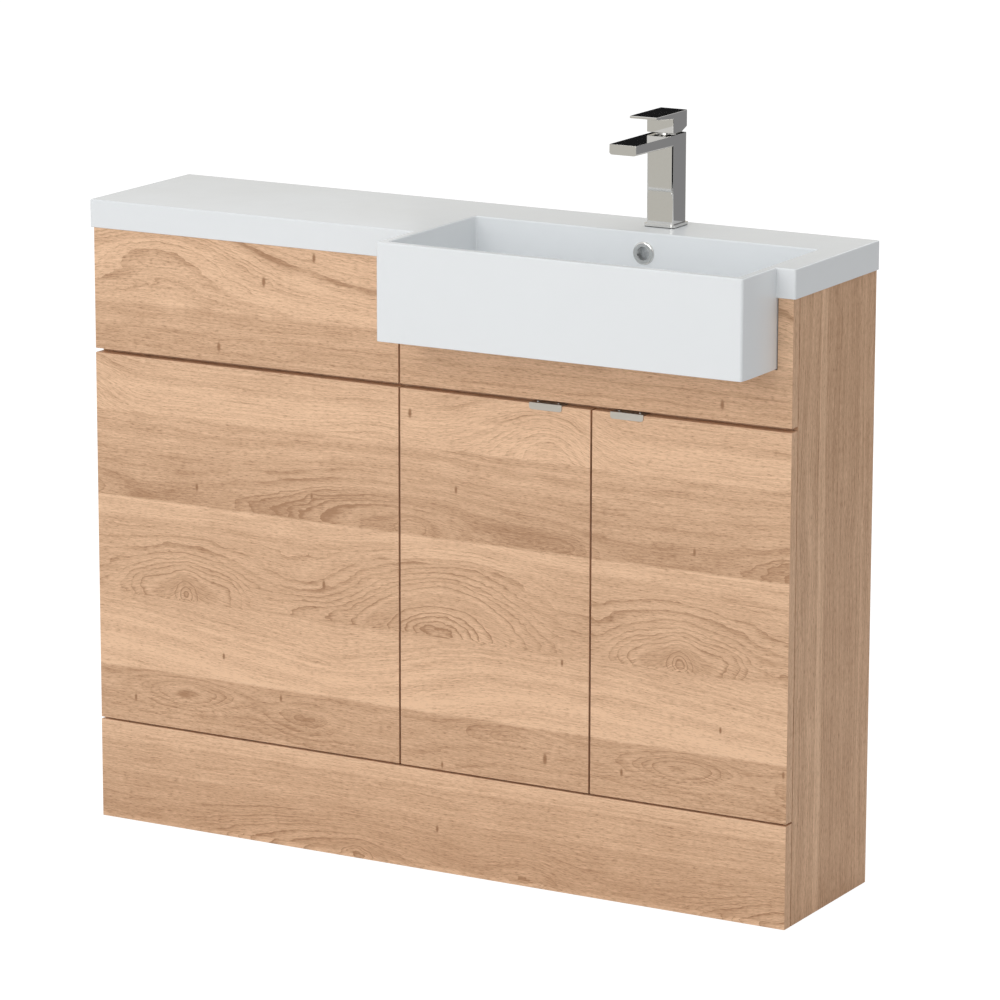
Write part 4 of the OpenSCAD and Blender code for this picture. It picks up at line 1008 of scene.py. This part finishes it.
# Large lights by the property that holds their power: name and place. Then their size and where they point.
LIGHTS = {"key": ("front light", (-0.4, -5.0, 2.5)), "top": ("top light", (0.2, -0.3, 4.2)),
          "back": ("back light", (-0.6, 4.2, 2.8))}
LIGHT_SIZE, LIGHT_AIM = 3.0, (0, 0, 0.5)

# Painted reflections: glowing cards that light nothing, cast no shadow and show only in the reflections of the
# chrome and the resin. Centre, width, height, the place that each faces, and its shade
SHADES = {"dark": (0.012, 0.012, 0.013), "grey": (0.30, 0.30, 0.31), "warm": (0.67, 0.655, 0.61),
          "pale": (0.60, 0.57, 0.51)}
CARDS = {
    "high_flag": ((-0.01, 0.62, 1.39), 0.84, 0.63, (-0.01, -1, 1.39), "dark"),
    "low_flag": ((0.80, 0.60, 0.75), 0.72, 0.62, (0.80, -1, 0.75), "grey"),
    "back_flag": ((-0.53, 0.60, 0.94), 1.94, 0.28, (-0.53, -1, 0.94), "pale"),
    "front_flag": ((-0.35, -1.05, 0.74), 0.90, 0.60, (0.25, 0.11, 1.0), "warm"),
    "bowl_flag": ((0.25, -0.0465, 0.902), 0.50, 0.232, (0.25, -0.0465, 2.0), "warm"),
    "edge_flag": ((1.03, -0.67, 0.78), 1.7, 0.5, (0.25, 0.11, 0.78), "dark"),
    "camera_flag": ((3.2, -5.5, 1.6), 1.3, 3.2, (0, 0, 1.0), "dark")}


def place_camera():
    data = bpy.data.cameras.new("camera")
    data.sensor_width = PICTURE
    data.lens = LENS
    data.clip_start, data.clip_end = 0.1, 100
    yaw, pitch, roll = (math.radians(angle) for angle in CAMERA_TURNS)
    ahead = Vector((-math.sin(yaw), math.cos(yaw), 0))
    right = Vector((math.cos(yaw), math.sin(yaw), 0))
    forward = ahead * math.cos(pitch) - Vector((0, 0, 1)) * math.sin(pitch)
    up = right.cross(forward)
    right, up = right * math.cos(roll) + up * math.sin(roll), up * math.cos(roll) - right * math.sin(roll)
    turned = Matrix((right, up, -forward)).transposed().to_4x4()
    camera = linked("camera", data)
    camera.matrix_world = Matrix.Translation(CAMERA_PLACE) @ turned
    bpy.context.scene.camera = camera


def panel(name, centre, width, height, facing, material):
    """A flat stage panel with its face towards a place."""
    solid = bmesh.new()
    bmesh.ops.create_grid(solid, x_segments=1, y_segments=1, size=0.5)
    bmesh.ops.scale(solid, vec=(width, height, 1), verts=solid.verts)
    turn = (Vector(facing) - Vector(centre)).to_track_quat("Z", "Y").to_matrix().to_4x4()
    bmesh.ops.transform(solid, matrix=Matrix.Translation(centre) @ turn, verts=solid.verts)
    made = solid_object(name, solid)
    made.data.materials.append(material)
    return made


def emptied(block):
    """The node tree of a material or a world, with nothing in it."""
    block.use_nodes = True
    block.node_tree.nodes.clear()
    return block.node_tree


def ray_of(tree, *kinds):
    """1 for a ray of one of these kinds, else 0."""
    path = add(tree, "ShaderNodeLightPath")
    found = path.outputs[f"Is {kinds[0]} Ray"]
    for kind in kinds[1:]:
        found = calc(tree, "MAXIMUM", found, path.outputs[f"Is {kind} Ray"])
    return found


def mixed_surface(tree, share, first, second):
    """A material's surface, which goes from the first shader to the second as the share goes from 0 to 1."""
    mixed = add(tree, "ShaderNodeMixShader", {0: share, 1: first.outputs[0], 2: second.outputs[0]})
    add(tree, "ShaderNodeOutputMaterial", {"Surface": mixed.outputs[0]})


def glow(name, shade):
    """Plain light from the front of a panel, the glow of a card of painted reflections. Its back lets
    everything through.
    """
    material = bpy.data.materials.new(name)
    tree = emptied(material)
    light = add(tree, "ShaderNodeEmission", {"Color": (*shade, 1), "Strength": 1.0})
    behind = add(tree, "ShaderNodeNewGeometry").outputs["Backfacing"]
    mixed_surface(tree, behind, light, add(tree, "ShaderNodeBsdfTransparent"))
    return material


class RUN_OT_stage(Undoable, bpy.types.Operator):
    """Set the floor, the studio light and the camera"""

    bl_idname = "run.stage"
    bl_label = "Stage"

    def execute(self, context):
        stage = looks().stage
        scene = bpy.context.scene
        scene.view_settings.view_transform = "Standard"
        place_camera()

        floor = bpy.data.materials.new("pale floor")
        tree = emptied(floor)
        share = calc(tree, "MULTIPLY", ray_of(tree, "Camera", "Transmission"), 1 - stage.shadow)
        lit = add(tree, "ShaderNodeBsdfDiffuse", {"Color": (0.86, 0.86, 0.86, 1)})
        bright = add(tree, "ShaderNodeEmission", {"Color": (1, 1, 1, 1), "Strength": 1.25})
        mixed_surface(tree, share, lit, bright)
        panel("floor", (0, 0, -MM / 2), 60, 60, (0, 0, 1), floor)

        scene.world = bpy.data.worlds.new("room")
        tree = emptied(scene.world)
        seen = ray_of(tree, "Camera", "Transmission", "Glossy")
        room = add(tree, "ShaderNodeBackground", {"Color": (1, 1, 1, 1),
                                                  "Strength": spread(tree, seen, 0, 1, stage.world, 1.0)})
        add(tree, "ShaderNodeOutputWorld", {"Surface": room.outputs[0]})

        for key, (name, place) in LIGHTS.items():
            data = bpy.data.lights.new(name, "AREA")
            data.size = LIGHT_SIZE
            data.energy = getattr(stage, key)
            lamp = linked(name, data)
            lamp.location = place
            lamp.rotation_euler = (Vector(LIGHT_AIM) - Vector(place)).to_track_quat("-Z", "Y").to_euler()

        # Painted reflections: the cards glow but light nothing and cast no shadow, and only reflections show
        # them
        glows = {name: glow(name + " flag", tone) for name, tone in SHADES.items()}
        for name, (*form, tone) in CARDS.items():
            card = panel(name, *form, glows[tone])
            card.visible_camera = card.visible_diffuse = False
            card.visible_shadow = card.visible_transmission = False
        return {"FINISHED"}


class RUN_PT_looks(bpy.types.Panel):
    """Lists the pieces of the run and the sizes and colours that they use"""

    bl_label = "Bathroom run"
    bl_idname = "RUN_PT_looks"
    bl_space_type = "VIEW_3D"
    bl_region_type = "UI"
    bl_category = "Bathroom run"

    def draw(self, context):
        column = self.layout.column()
        for operator in OPERATORS:
            column.operator(operator.bl_idname)
        for part in RunLooks.__annotations__:
            group = getattr(looks(), part)
            box = self.layout.box()
            for name in group.__annotations__:
                box.prop(group, name)


GROUPS = (OakLooks, ResinLooks, MetalLooks, ScrewLooks, RibLooks, StageLooks, RunLooks)
OPERATORS = (RUN_OT_stage, RUN_OT_boards, RUN_OT_fronts, RUN_OT_worktop, RUN_OT_tap, RUN_OT_waste,
             RUN_OT_hinges, RUN_OT_pulls, RUN_OT_fittings, RUN_OT_screws, RUN_OT_ribs)
CLASSES = (*GROUPS, *OPERATORS, RUN_PT_looks)


def register():
    for made in CLASSES:
        bpy.utils.register_class(made)
    bpy.types.Scene.bathroom_run = PointerProperty(type=RunLooks)


def unregister():
    del bpy.types.Scene.bathroom_run
    for made in reversed(CLASSES):
        bpy.utils.unregister_class(made)


def main():
    register()
    for operator in OPERATORS:
        getattr(bpy.ops.run, operator.bl_idname.removeprefix("run."))()


if __name__ == "__main__":
    main()
